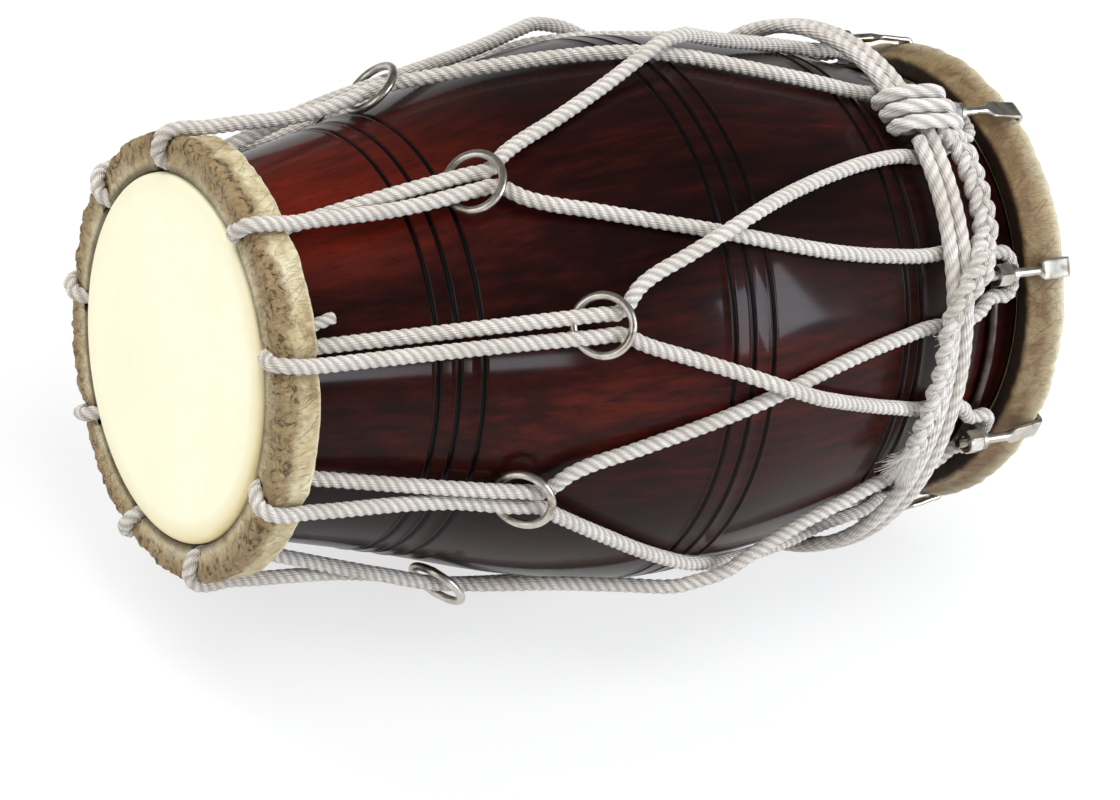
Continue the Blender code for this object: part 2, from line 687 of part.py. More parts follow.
# Tuning rings: one round each pair of legs, leaning back over them
def tuning_ring(k):
    x, r = ring_place(k)
    centre_line = RING_OUTER_R - RING_WIRE_R
    frame = bpy.data.objects.new(f"tuning_ring_axis_{k + 1}", None)
    frame.parent = drum
    turn = about_axis(LACE_DEG[k])
    frame.matrix_local = turn @ Matrix.Translation((x, 0.0, r))
    back = ring_back(k)
    ring_ways.append(turn.to_3x3() @ Vector((x - back[0], 0.0, r - back[1])).normalized())
    parts.objects.link(frame)
    reach = r - shell_r(x - centre_line / 2) - RING_WIRE_R - GAP
    lean = Matrix.Rotation(-math.asin(min(reach / centre_line, 0.9)), 4, "Y")
    points = [
        lean @ Vector((centre_line * math.cos(rad(a)), centre_line * math.sin(rad(a)), 0.0))
        for a in np.arange(0.0, 360.0, 360.0 / 16)
    ]
    tube(f"tuning_ring_{k + 1}", points, RING_WIRE_R, nickel, frame, closed=True)


ring_ways = []
for k in range(9):
    tuning_ring(k)


# Hook bolts: a round shank that flattens into a strap over the bass hoop, with a claw over its front
def strap_outline():
    half = STRAP_THICK / 2
    lift = HOOK_LIFT + half
    claw_x = BASS_FRONT_X + HOOK_LIFT + half
    centre = [
        (ANCHOR_X + STRAP_AHEAD, BOLT_AXIS_R),
        (ANCHOR_X + STRAP_BEND_AHEAD, BOLT_AXIS_R),
        (BASS_FRONT_X - STRAP_SHOULDER, BASS_HOOP_R + lift + HOOP_RIDGE),
        (claw_x, BASS_HOOP_R - CLAW_SHOULDER),
        (claw_x, BASS_HOOP_R - CLAW_DEPTH),
    ]
    sides = []
    for side in (+1, -1):
        row = []
        for i, (x, r) in enumerate(centre):
            a = centre[max(i - 1, 0)]
            b = centre[min(i + 1, len(centre) - 1)]
            d = Vector((b[0] - a[0], b[1] - a[1])).normalized()
            row.append((x - side * d.y * half, r + side * d.x * half))
        sides.append(row)
    return sides[0] + list(reversed(sides[1]))


def strap_mesh():
    outline = strap_outline()
    low = [(x, -STRAP_WIDTH / 2, r) for x, r in outline]

    def build(work):
        face = work.faces.new([work.verts.new(p) for p in low])
        made = bmesh.ops.extrude_face_region(work, geom=[face])["geom"]
        verts = [v for v in made if isinstance(v, bmesh.types.BMVert)]
        bmesh.ops.translate(work, verts=verts, vec=(0.0, STRAP_WIDTH, 0.0))

    return solid("strap", build)


def nut_mesh():
    centre_x = ANCHOR_X - LUG_THICK / 2 - GAP - NUT_THICK / 2
    shape = Matrix.Translation((centre_x, 0.0, BOLT_AXIS_R)) @ Matrix.Rotation(math.pi / 2, 4, "Y")
    return solid("nut", lambda work: bmesh.ops.create_cone(
        work, cap_ends=True, segments=6, radius1=NUT_FLATS / math.sqrt(3), radius2=NUT_FLATS / math.sqrt(3),
        depth=NUT_THICK, matrix=shape,
    ))


def on_bolt_axis(mesh):
    """Moves a mesh so that its origin lies on the bolt's axis, at the lug."""
    mesh.transform(Matrix.Translation((-ANCHOR_X, 0.0, -BOLT_AXIS_R)))
    return mesh


shank = on_bolt_axis(bolt_cylinder("shank", BOLT_R, BOLT_END_X, SHANK_END_X, 12))
strap = on_bolt_axis(strap_mesh())
nut_body = on_bolt_axis(nut_mesh())
nut_bore = on_bolt_axis(bolt_cylinder("bore", HOLE_R, BOLT_END_X, SHANK_END_X, 12))
for k, deg in enumerate(HOOK_DEG):
    seat = about_axis(deg) @ Matrix.Translation((ANCHOR_X, 0.0, BOLT_AXIS_R))
    hook = add(f"hook_bolt_{k + 1}", shank.copy(), nickel, drum, parts)
    hook.matrix_local = seat
    strap_part = cutter(f"strap_{k + 1}", strap.copy())
    strap_part.matrix_local = seat
    boolean(hook, strap_part, "UNION", "strap")
    nut = add(f"bolt_nut_{k + 1}", nut_body.copy(), nickel, drum, parts)
    nut.matrix_local = seat
    bore_part = cutter(f"nut_bore_{k + 1}", nut_bore.copy())
    bore_part.matrix_local = seat
    boolean(nut, bore_part, "DIFFERENCE", "thread bore")


# Belt: two turns side by side, pulled tight over the lacing; the seam crosses over under the knot
def belt_point(turn_deg):
    across = min(max((turn_deg - 360.0 + BELT_SHIFT_DEG) / (2 * BELT_SHIFT_DEG), 0.0), 1.0)
    ease = across * across * (3 - 2 * across)
    x, r = belt_line(KNOT_DEG + turn_deg)
    return place(x + STRAND_STEP * (ease - 0.5), r, KNOT_DEG + turn_deg)


belt_turns = (
    list(np.linspace(BELT_END_DEG, 360.0 - BELT_SHIFT_DEG, 24))
    + list(np.linspace(360.0 - BELT_SHIFT_DEG, 360.0 + BELT_SHIFT_DEG, 5)[1:-1])
    + list(np.linspace(360.0 + BELT_SHIFT_DEG, 720.0 - BELT_END_DEG, 24))
)
belt_route = [belt_point(t) for t in belt_turns]
tube("belt_rope", belt_route, ROPE_R, cotton, drum)


# Knot: the belt's end wound round both turns and itself, its wraps slanting
def knot_route():
    across = (KNOT_STRANDS - 1) * STRAND_STEP / 2
    wide = across + 2 * ROPE_R + 2 * GAP
    tall = 2 * ROPE_R + 2.2 * GAP
    pitch = 2 * ROPE_R + KNOT_TURN_GAP
    belt_x, belt_r = belt_line(KNOT_DEG)
    middle = belt_x - STRAND_STEP / 2 + across
    points = []
    for i in range(KNOT_TURNS * KNOT_POINTS + 1):
        turn = i / KNOT_POINTS - KNOT_TURNS / 2
        a = 2 * math.pi * turn
        flat = (wide - tall) * min(max(2 * math.sin(a), -1.0), 1.0)
        deg = KNOT_DEG + math.degrees(turn * pitch / (belt_r - tall)) + KNOT_SLANT_DEG * math.cos(a)
        points.append(place(middle + flat + tall * math.sin(a), belt_r + tall * math.cos(a), deg))
    return points


knot = knot_route()
tube("belt_knot", knot, ROPE_R, cotton, drum)

# Braid: the free end, chained on itself, laid beside the belt and over it, its tip frayed
BRAID_BASE_R = BELT_LACING_R + ROPE_R + GAP + BRAID_R
braid = [place(BELT_X + x, BRAID_BASE_R + up, deg) for x, deg, up in BRAID_ROUTE]
tube("belt_tail_braid", braid, BRAID_R, cotton, drum, sides_step=2)


def least_gap(points, radius, skip):
    """The least distance between two stretches of a tube that aren't neighbours, surface to surface."""
    fine = []
    for a, b in zip(points[:-1], points[1:]):
        steps = max(int((b - a).length / 0.002), 1)
        fine += [a.lerp(b, i / steps) for i in range(steps)]
    rows = np.array([tuple(p) for p in fine])
    best = math.inf
    for i in range(len(rows)):
        rest = rows[i + skip:]
        if len(rest):
            best = min(best, float(np.linalg.norm(rest - rows[i], axis=1).min()))
    return best - 2 * radius


print(f"belt rope: least gap to itself {least_gap(belt_route, ROPE_R, 10) * 1000:.2f} mm")
print(f"belt knot: least gap to itself {least_gap(knot, ROPE_R, 26) * 1000:.2f} mm")
print(f"lacing rope: least gap to itself {least_gap(lacing_route(), ROPE_R, 12) * 1000:.2f} mm")
lengths = {"lacing": lacing_route(), "belt": belt_route, "knot": knot, "braid": braid}
for name, route in lengths.items():
    print(f"{name}: {sum((b - a).length for a, b in zip(route[:-1], route[1:])):.3f} m long")


# Rest pose: the drum lies on its two lowest rope crossings and on the belt
low_crossings = [crossing(LOW_LACES[0]), crossing(LOW_LACES[1])]
cross_x = sum(x for x, _ in low_crossings) / 2
cross_r = max(shell_r(x) for x, _ in low_crossings) + ROPE_OVER + 2 * ROPE_R + CROSSING_GAP
cross_drop = cross_r * math.cos(rad((low_crossings[1][1] - low_crossings[0][1]) / 2)) + ROPE_R
rest_x, rest_r = belt_line(270.0)
pitch = math.atan2(cross_drop - rest_r - ROPE_R, rest_x - cross_x)
rest_turn = Matrix.Rotation(pitch, 4, "Y")
claw_face_x = BASS_FRONT_X + HOOK_LIFT + STRAP_THICK
claw_corners = [place(claw_face_x, BASS_HOOP_R, deg) for deg in HOOK_DEG]
rope_points = [rest_turn @ p for p in lacing_route() + belt_route + knot + braid]
rope_low = Vector([min(p[i] for p in rope_points) - ROPE_R for i in range(3)])
rope_high = Vector([max(p[i] for p in rope_points) + ROPE_R for i in range(3)])
claw_high = max((rest_turn @ p).x for p in claw_corners)
drum.rotation_euler = (0.0, pitch, 0.0)
drum.location = (-(rope_low.x + claw_high) / 2, -(rope_low.y + rope_high.y) / 2, -rope_low.z)
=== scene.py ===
"""Dholak: the looks of a rope-laced barrel drum with two heads, sliding tuning rings and a lashed belt."""

import math

import bmesh
import bpy
import numpy as np
from mathutils import Matrix, Vector, noise


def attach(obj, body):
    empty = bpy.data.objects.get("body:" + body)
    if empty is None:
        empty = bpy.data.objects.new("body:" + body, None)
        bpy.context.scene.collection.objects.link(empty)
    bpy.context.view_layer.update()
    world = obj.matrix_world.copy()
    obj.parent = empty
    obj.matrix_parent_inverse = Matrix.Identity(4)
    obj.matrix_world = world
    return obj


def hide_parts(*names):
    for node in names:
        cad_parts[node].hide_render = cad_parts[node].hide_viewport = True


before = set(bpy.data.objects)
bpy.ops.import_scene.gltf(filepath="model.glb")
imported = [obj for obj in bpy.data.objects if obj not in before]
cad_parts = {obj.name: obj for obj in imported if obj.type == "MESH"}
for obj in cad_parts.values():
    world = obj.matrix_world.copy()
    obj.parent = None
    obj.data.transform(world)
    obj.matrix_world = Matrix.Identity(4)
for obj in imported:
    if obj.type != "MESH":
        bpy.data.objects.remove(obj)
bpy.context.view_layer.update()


# Lie of the drum. It rests on two crossings of its lacing and on its belt, so its axis dips two degrees to
# the bass end. Places on it are given along the axis from the treble head, out from the axis, and by the
# angle round it, where 90 degrees is up and 270 is the floor.
dip = 0.037661
lie = Matrix.Translation((-0.229176, -0.004341, 0.159804)) @ Matrix.Rotation(dip, 4, "Y")
inside = lie.inverted()


def spot(x, r, deg):
    a = math.radians(deg)
    return lie @ Vector((x, r * math.cos(a), r * math.sin(a)))


# Camera. It stands over the treble end and looks down along the drum at a steep slant, as a buyer would
# who bends over it on a table.
eye = bpy.data.cameras.new("camera")
eye.lens, eye.sensor_width, eye.sensor_fit = 109.03, 36.0, "HORIZONTAL"
eye.clip_end = 50.0
camera = bpy.data.objects.new("camera", eye)
bpy.context.scene.collection.objects.link(camera)
camera.matrix_world = lie @ Matrix((
    (0.82966, 0.11442, -0.54641, -0.73524), (-0.49399, 0.60642, -0.62308, -1.11733),
    (0.26006, 0.78687, 0.55965, 0.94327), (0.0, 0.0, 0.0, 1.0),
))
bpy.context.scene.camera = camera
bpy.context.scene.view_settings.view_transform = "Standard"


# Barrel shell. One log of hardwood, hollowed and turned, with three sets of cut grooves rubbed with black.
# The lacquer over its dark red stain is thick and glossy. The grain glows through where light hits, and a painted glow
# of brighter red near the top at the treble end adds to that light.
class Value:
    """A socket of a node tree. Sums on it add its Math nodes."""

    def __init__(self, nodes, socket):
        self.nodes, self.socket = nodes, socket

    def maths(self, operation, *others):
        return self.nodes.node("ShaderNodeMath", {"operation": operation}, dict(enumerate((self, *others))))

    def __add__(self, other):
        return self.maths("ADD", other)

    __radd__ = __add__

    def __mul__(self, other):
        return self.maths("MULTIPLY", other)

    __rmul__ = __mul__

    def __sub__(self, other):
        return self.maths("SUBTRACT", other)

    def __rsub__(self, other):
        return self.nodes.node("ShaderNodeMath", {"operation": "SUBTRACT"}, {0: other, 1: self})

    def __truediv__(self, other):
        return self.maths("DIVIDE", other)

    def __pow__(self, other):
        return self.maths("POWER", other)

    def __abs__(self):
        return self.maths("ABSOLUTE")

    def sine(self):
        return self.maths("SINE")

    def cosine(self):
        return self.maths("COSINE")


class Nodes:
    """Adds nodes to a tree: the settings first, then the values or links of the sockets."""

    def __init__(self, tree):
        self.tree = tree

    def node(self, kind, settings=None, inputs=None, output=0):
        made = self.tree.nodes.new(kind)
        for name, value in (settings or {}).items():
            if name == "stops":
                ramp = made.color_ramp
                while len(ramp.elements) < len(value):
                    ramp.elements.new(0.5)
                for element, (position, colour) in zip(ramp.elements, value):
                    element.position = position
                    element.color = (*colour, 1.0)
            else:
                setattr(made, name, value)
        for socket, value in (inputs or {}).items():
            if isinstance(value, Value):
                self.tree.links.new(value.socket, made.inputs[socket])
            else:
                made.inputs[socket].default_value = value
        return Value(self, made.outputs[output])

    def split(self, vector):
        first = self.node("ShaderNodeSeparateXYZ", None, {0: vector})
        return [Value(self, output) for output in first.socket.node.outputs]

    def joined(self, x, y, z):
        return self.node("ShaderNodeCombineXYZ", None, {0: x, 1: y, 2: z})


class Finish(Nodes):
    """A material on the Principled shader. What is the same all over is set on the shader's own sockets."""

    def __init__(self, name, **constants):
        self.material = bpy.data.materials.new(name)
        self.material.use_nodes = True
        super().__init__(self.material.node_tree)
        self.shader = self.tree.nodes["Principled BSDF"]
        for socket, value in constants.items():
            self.shader.inputs[socket.replace("_", " ")].default_value = value
        self.place = self.node("ShaderNodeTexCoord", output=3)

    def drive(self, **links):
        for socket, value in links.items():
            self.tree.links.new(value.socket, self.shader.inputs[socket.replace("_", " ")])

    def bump(self, height, strength, distance):
        return self.node("ShaderNodeBump", None, {"Strength": strength, "Distance": distance, "Height": height})

    def along_drum(self, scale):
        inputs = {"Vector": self.place, "Scale": scale, "Rotation": (0.0, -dip, 0.0)}
        return self.node("ShaderNodeMapping", None, inputs)

    def round_drum(self):
        """At any point: how far along the drum, the angle round it from its top, and how far out."""
        x, y, z = self.split(self.node("ShaderNodeMapping", None, {
            "Vector": self.place, "Location": tuple(inside.translation), "Rotation": (0.0, -dip, 0.0)}))
        return x, (y * -1.0).maths("ARCTAN2", z), (y * y + z * z) ** 0.5

    def cloud(self, scale, detail=4.0, rough=0.55, warp=0.0, vector=None):
        return self.node("ShaderNodeTexNoise", None, {
            "Vector": vector or self.place, "Scale": scale, "Detail": detail, "Roughness": rough,
            "Distortion": warp})

    def ramp(self, value, *stops):
        return self.node("ShaderNodeValToRGB", {"stops": stops}, {0: value})

    def level(self, value, low, high):
        """0 below low, 1 above high and straight between them."""
        return self.node("ShaderNodeMapRange", None, {0: value, 1: low, 2: high})

    def tint(self, share, colour, other):
        inputs = {0: share}
        for socket, given in ((6, colour), (7, other)):
            inputs[socket] = given if isinstance(given, Value) else (*given, 1.0)
        return self.node("ShaderNodeMix", {"data_type": "RGBA"}, inputs, 2)

    def attribute(self, name, output=2):
        return self.node("ShaderNodeAttribute", {"attribute_name": name}, None, output)


def mesh_from(name, points, faces):
    """A closed smooth mesh: doubles merged, faces turned outwards."""
    mesh = bpy.data.meshes.new(name)
    mesh.from_pydata([tuple(p) for p in points], [], faces)
    work = bmesh.new()
    work.from_mesh(mesh)
    bmesh.ops.remove_doubles(work, verts=work.verts, dist=1e-6)
    bmesh.ops.recalc_face_normals(work, faces=work.faces)
    work.to_mesh(mesh)
    work.free()
    mesh.polygons.foreach_set("use_smooth", [True] * len(mesh.polygons))
    return mesh


def painted(mesh, **fields):
    for name, values in fields.items():
        mesh.attributes.new(name, "FLOAT", "POINT").data.foreach_set("value", values)


def fit(name, mesh, finish, slot, body, *nodes):
    """A finished piece: its mesh already lies in place, so its object sits at the origin."""
    piece = bpy.data.objects.new(name, mesh)
    bpy.context.scene.collection.objects.link(piece)
    mesh.materials.clear()
    mesh.materials.append(finish.material)
    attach(piece, body)
    if nodes:
        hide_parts(*nodes)
    return piece


def ring_faces(rows, steps, closed):
    faces = []
    for i in range(rows if closed else rows - 1):
        a, b = i * steps, (i + 1) % rows * steps
        for j in range(steps):
            k = (j + 1) % steps
            faces.append((a + j, b + j, b + k, a + k))
    return faces


def turned(name, profile, steps, closed=True):
    """A surface turned about the drum's axis from (x, r) points."""
    points = [spot(x, r, 360.0 * j / steps) for x, r in profile for j in range(steps)]
    return mesh_from(name, points, ring_faces(len(profile), steps, closed))


def smooth_row(stations, count):
    """Points along a soft curve through (x, r) stations."""
    xs, rs = np.array(stations).T
    slopes = np.gradient(rs, xs)
    row = []
    for x in np.linspace(xs[0], xs[-1], count):
        i = min(int(np.searchsorted(xs, x, side="right")) - 1, len(xs) - 2)
        h = xs[i + 1] - xs[i]
        t = (x - xs[i]) / h
        row.append((float(x), float(
            (2 * t**3 - 3 * t**2 + 1) * rs[i] + (t**3 - 2 * t**2 + t) * h * slopes[i]
            + (3 * t**2 - 2 * t**3) * rs[i + 1] + (t**3 - t**2) * h * slopes[i + 1]
        )))
    return row


length = 0.460
treble_rim, bass_rim, belly, belly_x = 0.0884, 0.1072, 0.1405, 0.245
collar_end, collar_start = 0.02335, 0.43665
swell = [
    (collar_end, treble_rim),
    (collar_end + 0.35 * (belly_x - collar_end), treble_rim + 0.37 * (belly - treble_rim)),
    (collar_end + 0.70 * (belly_x - collar_end), treble_rim + 0.79 * (belly - treble_rim)),
    (belly_x, belly),
    (belly_x + 0.32 * (collar_start - belly_x), belly - 0.14 * (belly - bass_rim)),
    (belly_x + 0.63 * (collar_start - belly_x), belly - 0.43 * (belly - bass_rim)),
    (collar_start, bass_rim),
]
outline_x, outline_r = np.array(
    [(0.00135, treble_rim)] + smooth_row(swell, 90) + [(length - 0.00135, bass_rim)]
).T


def shell_r(x):
    return float(np.interp(x, outline_x, outline_r))


def shell_profile():
    """The outside with its rounded grooves, then the bore back."""
    groove_depth, groove_half, lip, rise = 0.0015, 0.0014, 0.0011, 0.00016
    grooves = (0.087, 0.097, 0.109, 0.234, 0.245, 0.257, 0.350, 0.361)
    across = [-1.0, -0.8, -0.55, -0.3, 0.0, 0.3, 0.55, 0.8, 1.0]
    rows = [(x, shell_r(x)) for x in outline_x if all(abs(x - g) > groove_half + lip for g in grooves)]
    for g in grooves:
        rows += [(g + s * groove_half, shell_r(g) - groove_depth * (1 - s * s) ** 0.75) for s in across]
        rows += [(g + s * (groove_half + 0.5 * lip), shell_r(g + s * groove_half) + rise) for s in (-1, 1)]
        rows += [(g + s * (groove_half + lip), shell_r(g + s * (groove_half + lip))) for s in (-1, 1)]
    bore = [(x, shell_r(x) - 0.014) for x in np.linspace(collar_start, collar_end, 12)]
    return sorted(rows) + [(length - 0.00135, bass_rim - 0.010)] + bore + [(0.00135, treble_rim - 0.010)]


lacquer = Finish(
    "dark_lacquered_hardwood", Roughness=0.45, Specular_IOR_Level=0.05, Coat_Weight=0.34, Coat_Roughness=0.10,
    Coat_IOR=1.32,
)
figure = lacquer.cloud(1.6, 3.0, 0.5, 0.3, lacquer.along_drum((1.0, 6.0, 6.0)))
fibres = lacquer.cloud(7.0, 6.0, 0.62, 0.2, lacquer.along_drum((0.7, 26.0, 26.0)))
pores = lacquer.cloud(60.0, 2.0, 0.5, 0.0, lacquer.along_drum((0.8, 9.0, 9.0)))
grain = lacquer.level(figure * 0.55 + fibres * 0.45, 0.36, 0.68)
stain = lacquer.ramp(
    grain, (0.0, (0.0050, 0.0014, 0.0013)), (0.35, (0.0110, 0.0021, 0.0017)),
    (0.65, (0.0250, 0.0034, 0.0022)), (1.0, (0.0620, 0.0075, 0.0034)),
)
along, turn, out = lacquer.round_drum()
# Painted light: a brighter red near the top at the treble end stands in for the glow where the lamps hit the lacquer.
painted_glow = lacquer.level(along, 0.17, 0.04) * lacquer.level(turn.cosine(), 0.78, 0.98)
stain = lacquer.tint(painted_glow * (0.25 + grain * 0.75), stain, (0.150, 0.014, 0.0055))
stain = lacquer.tint(lacquer.level(pores, 0.60, 0.72) * 0.5, stain, (0.006, 0.0018, 0.0016))
lacquer.drive(
    Base_Color=lacquer.tint(lacquer.attribute("groove"), stain, (0.003, 0.0024, 0.0024)),
    Roughness=lacquer.level(fibres, 0.2, 0.8) * 0.12 + 0.34,
    Normal=lacquer.bump(fibres * 0.7 + pores * 0.3, 0.25, 0.00015),
)
shell_mesh = turned("barrel_shell_turned", shell_profile(), 256)
groove_marks = []
for vertex in shell_mesh.vertices:
    here = inside @ vertex.co
    cut = shell_r(here.x) - math.hypot(here.y, here.z)
    groove_marks.append(min(max(cut / 0.0008, 0.0), 1.0) if cut < 0.003 else 0.0)
painted(shell_mesh, groove=groove_marks)
fit("barrel_shell_turned", shell_mesh, lacquer, "lacquered_wood", "drum", "barrel_shell")


# Heads. Each is one thin goat skin, stretched wet over the shell's mouth and lapped on its hoop, so its edge
# is round and it dries to a smooth ivory with faint clouds, yellower along the lower side of its rim.
def skin_profile(front, way, rim):
    edge, thick, lap = 0.0030, 0.0010, 0.018
    outer = rim + 0.00135
    rows = [(front, 0.0)] + [(front, (outer - edge) * s) for s in (0.25, 0.5, 0.75, 0.9, 0.97)]
    for a in range(0, 91, 10):
        c = math.radians(a)
        rows.append((front + way * edge * (1 - math.cos(c)), outer - edge + edge * math.sin(c)))
    rows += [(front + way * lap, outer), (front + way * lap, outer - thick)]
    for a in range(90, -1, -15):
        c = math.radians(a)
        inner = edge - thick
        rows.append((front + way * (edge - inner * math.cos(c)), outer - edge + inner * math.sin(c)))
    return rows + [(front + way * thick, 0.0)]


skin = Finish("ivory_goat_skin", Roughness=0.5, Specular_IOR_Level=0.35)
_, turn, out = skin.round_drum()
clouds = skin.cloud(14.0, 5.0, 0.6, 0.4)
spots = skin.cloud(85.0, 3.0, 0.55)
lower_side = skin.level((turn - math.radians(118.0)).cosine(), -0.2, 0.9)
rim_share = skin.attribute("edge") * (0.25 + lower_side * 0.75)
ivory = skin.tint(skin.level(clouds, 0.30, 0.75), (0.850, 0.815, 0.600), (0.885, 0.862, 0.680))
ivory = skin.tint(skin.level(spots, 0.55, 0.80) * 0.30, ivory, (0.790, 0.735, 0.490))
ivory = skin.tint(rim_share * (0.45 + clouds * 0.7), ivory, (0.620, 0.490, 0.200))
skin.drive(
    Base_Color=ivory, Roughness=clouds * 0.2 + 0.42,
    Normal=skin.bump(clouds * 0.5 + spots * 0.5, 0.16, 0.0003),
)
for name, front, way, rim in (("treble_head_skin", 0.0, 1, treble_rim), ("bass_head_skin", length, -1, bass_rim)):
    head = turned(name + "_stretched", skin_profile(front, way, rim), 192, closed=False)
    edge_shares = []
    for vertex in head.vertices:
        here = inside @ vertex.co
        edge_shares.append(min(max((math.hypot(here.y, here.z) - rim + 0.012) / 0.012, 0.0), 1.0) ** 1.6)
    painted(head, edge=edge_shares)
    fit(name + "_stretched", head, skin, "head_skin", "drum", name)


# Tuning paste. A black disc of oil, tar and clay on the inner side of the bass skin gives it its low note.
paste = Finish("tuning_paste", Roughness=0.9)
lumps = paste.cloud(120.0, 5.0, 0.6)
paste.drive(
    Base_Color=paste.ramp(lumps, (0.3, (0.012, 0.010, 0.010)), (0.7, (0.034, 0.028, 0.026))),
    Normal=paste.bump(lumps, 0.6, 0.0008),
)


def recoat(node, finish):
    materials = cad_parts[node].data.materials
    materials.clear()
    materials.append(finish.material)


recoat("bass_tuning_paste", paste)


# Hoops. A split-cane ring inside is wrapped in wet rawhide, which dries hard, wrinkled and mottled, with a
# puckered seam along its front edge and a pale cut edge at its back. The rope bites into the treble one.
cane = Finish("split_cane", Roughness=0.6)
strands = cane.cloud(30.0, 4.0, 0.6, 0.0, cane.along_drum((14.0, 1.0, 1.0)))
cane.drive(
    Base_Color=cane.ramp(strands, (0.3, (0.20, 0.12, 0.05)), (0.7, (0.46, 0.32, 0.15))),
    Normal=cane.bump(strands, 0.4, 0.0005),
)
recoat("treble_hoop_core", cane)
recoat("bass_hoop_core", cane)

hide = Finish("rawhide", Roughness=0.6, Specular_IOR_Level=0.3)
along, turn, out = hide.round_drum()
broad = hide.cloud(13.0, 4.0, 0.60, 0.6)
fine = hide.cloud(65.0, 6.0, 0.68, 0.4)
grit = hide.cloud(330.0, 3.0, 0.6)
cross_folds = hide.cloud(3.2, 3.0, 0.60, 0.6, hide.joined(turn * 9.0, along * 22.0, out * 22.0))
slant_folds = hide.cloud(2.2, 2.0, 0.55, 0.3, hide.joined(turn * 5.0 + along * 34.0, along * 9.0, out * 9.0))
creases = 1.0 - hide.level(abs(cross_folds - 0.5), 0.0, 0.016)
long_creases = 1.0 - hide.level(abs(slant_folds - 0.5), 0.0, 0.007)
crumples = hide.cloud(3.0, 5.0, 0.66, 0.8, hide.joined(turn * 9.0, along * 80.0, out * 80.0))
pits = 1.0 - hide.level(crumples, 0.36, 0.47)
seam = hide.attribute("seam")
tan = hide.ramp(
    broad * 0.45 + fine * 0.55, (0.36, (0.250, 0.170, 0.080)), (0.45, (0.430, 0.345, 0.190)),
    (0.54, (0.580, 0.510, 0.330)), (0.66, (0.720, 0.670, 0.500)),
)
tan = hide.tint(hide.level(fine * 0.6 + grit * 0.4, 0.550, 0.64) * 0.50, tan, (0.170, 0.105, 0.048))
# Painted shade: the creases are tinted darker, as shade falls in them.
tan = hide.tint(creases * 0.25, tan, (0.160, 0.100, 0.050))
tan = hide.tint(long_creases * 0.40, tan, (0.140, 0.085, 0.040))
brown_share = seam * hide.level(broad * 0.4 + fine * 0.6, 0.34, 0.52)
tan = hide.tint(brown_share * 0.78, tan, (0.270, 0.160, 0.062))
# Painted shade: the pits of the puckered seam are tinted dark brown, as shade falls in them.
tan = hide.tint(seam * pits * 0.85, tan, (0.070, 0.036, 0.016))
# Brown mottle on the bass hoop, with more of it on the rear part as painted shade where that part faces away from the
# light.
tan = hide.tint(hide.attribute("brown") * hide.level(fine * 0.6 + broad * 0.4, 0.26, 0.52) * 0.92, tan, (0.125, 0.066, 0.024))
tan = hide.tint(hide.attribute("pale") * 0.60, tan, (0.740, 0.680, 0.500))
# Painted shade: the hoop's inner side, its rear face and the tunnels under the rope are tinted near black, where shade
# falls.
tan = hide.tint(hide.attribute("dark"), tan, (0.022, 0.012, 0.007))
hide.drive(
    Base_Color=tan, Roughness=fine * 0.3 + 0.42,
    Normal=hide.bump(
        fine * 0.45 + grit * 0.15 - creases * 0.15 - long_creases * 0.2 + seam * (crumples * 2.2 - pits * 0.4),
        0.95, 0.0014),
)

laces = (60.5, 107.5, 143.5, 183.0, 231.5, 270.0, 307.5, 343.5, 380.0)
hooks = (57.0, 102.5, 143.5, 186.0, 232.0, 270.0, 307.5, 343.5, 380.0)
rope_r = 0.0039
lace_spread = 2.2
inner_rope_r, outer_rope_r = 0.0940, 0.11015
hoop_width = 0.021


def hide_section(front, way, in_r, out_front, out_rear, corners, count):
    """A rounded section of a hoop as (x, r) points, closer together where it shows."""
    rear = front + way * hoop_width
    front_in, front_out, rear_out, rear_in = corners
    centres = (
        (front, 1, in_r, 1, front_in, 270.0), (front, 1, out_front, -1, front_out, 180.0),
        (rear, -1, out_rear, -1, rear_out, 90.0), (rear, -1, in_r, 1, rear_in, 0.0),
    )
    line = []
    for x, to_x, r, to_r, corner, start in centres:
        for a in np.linspace(start, start - 90.0, 7):
            c = math.radians(a)
            line.append((x + way * corner * (to_x + math.cos(c)), r + corner * (to_r + math.sin(c))))
    line = np.array(line + line[:1])
    steps = np.hypot(*np.diff(line, axis=0).T)
    hidden = (line[1:, 1] < in_r + 0.003) & (line[:-1, 1] < in_r + 0.003)
    run = np.r_[0.0, np.cumsum(np.where(hidden, steps * 0.4, steps))]
    even = np.linspace(0.0, run[-1], count + 1)[:-1]
    return np.interp(even, run, line[:, 0]), np.interp(even, run, line[:, 1])


def part_of(value, low, high):
    return min(max((value - low) / (high - low), 0.0), 1.0)


def bell(value, middle, width):
    return math.exp(-(((value - middle) / width) ** 2))


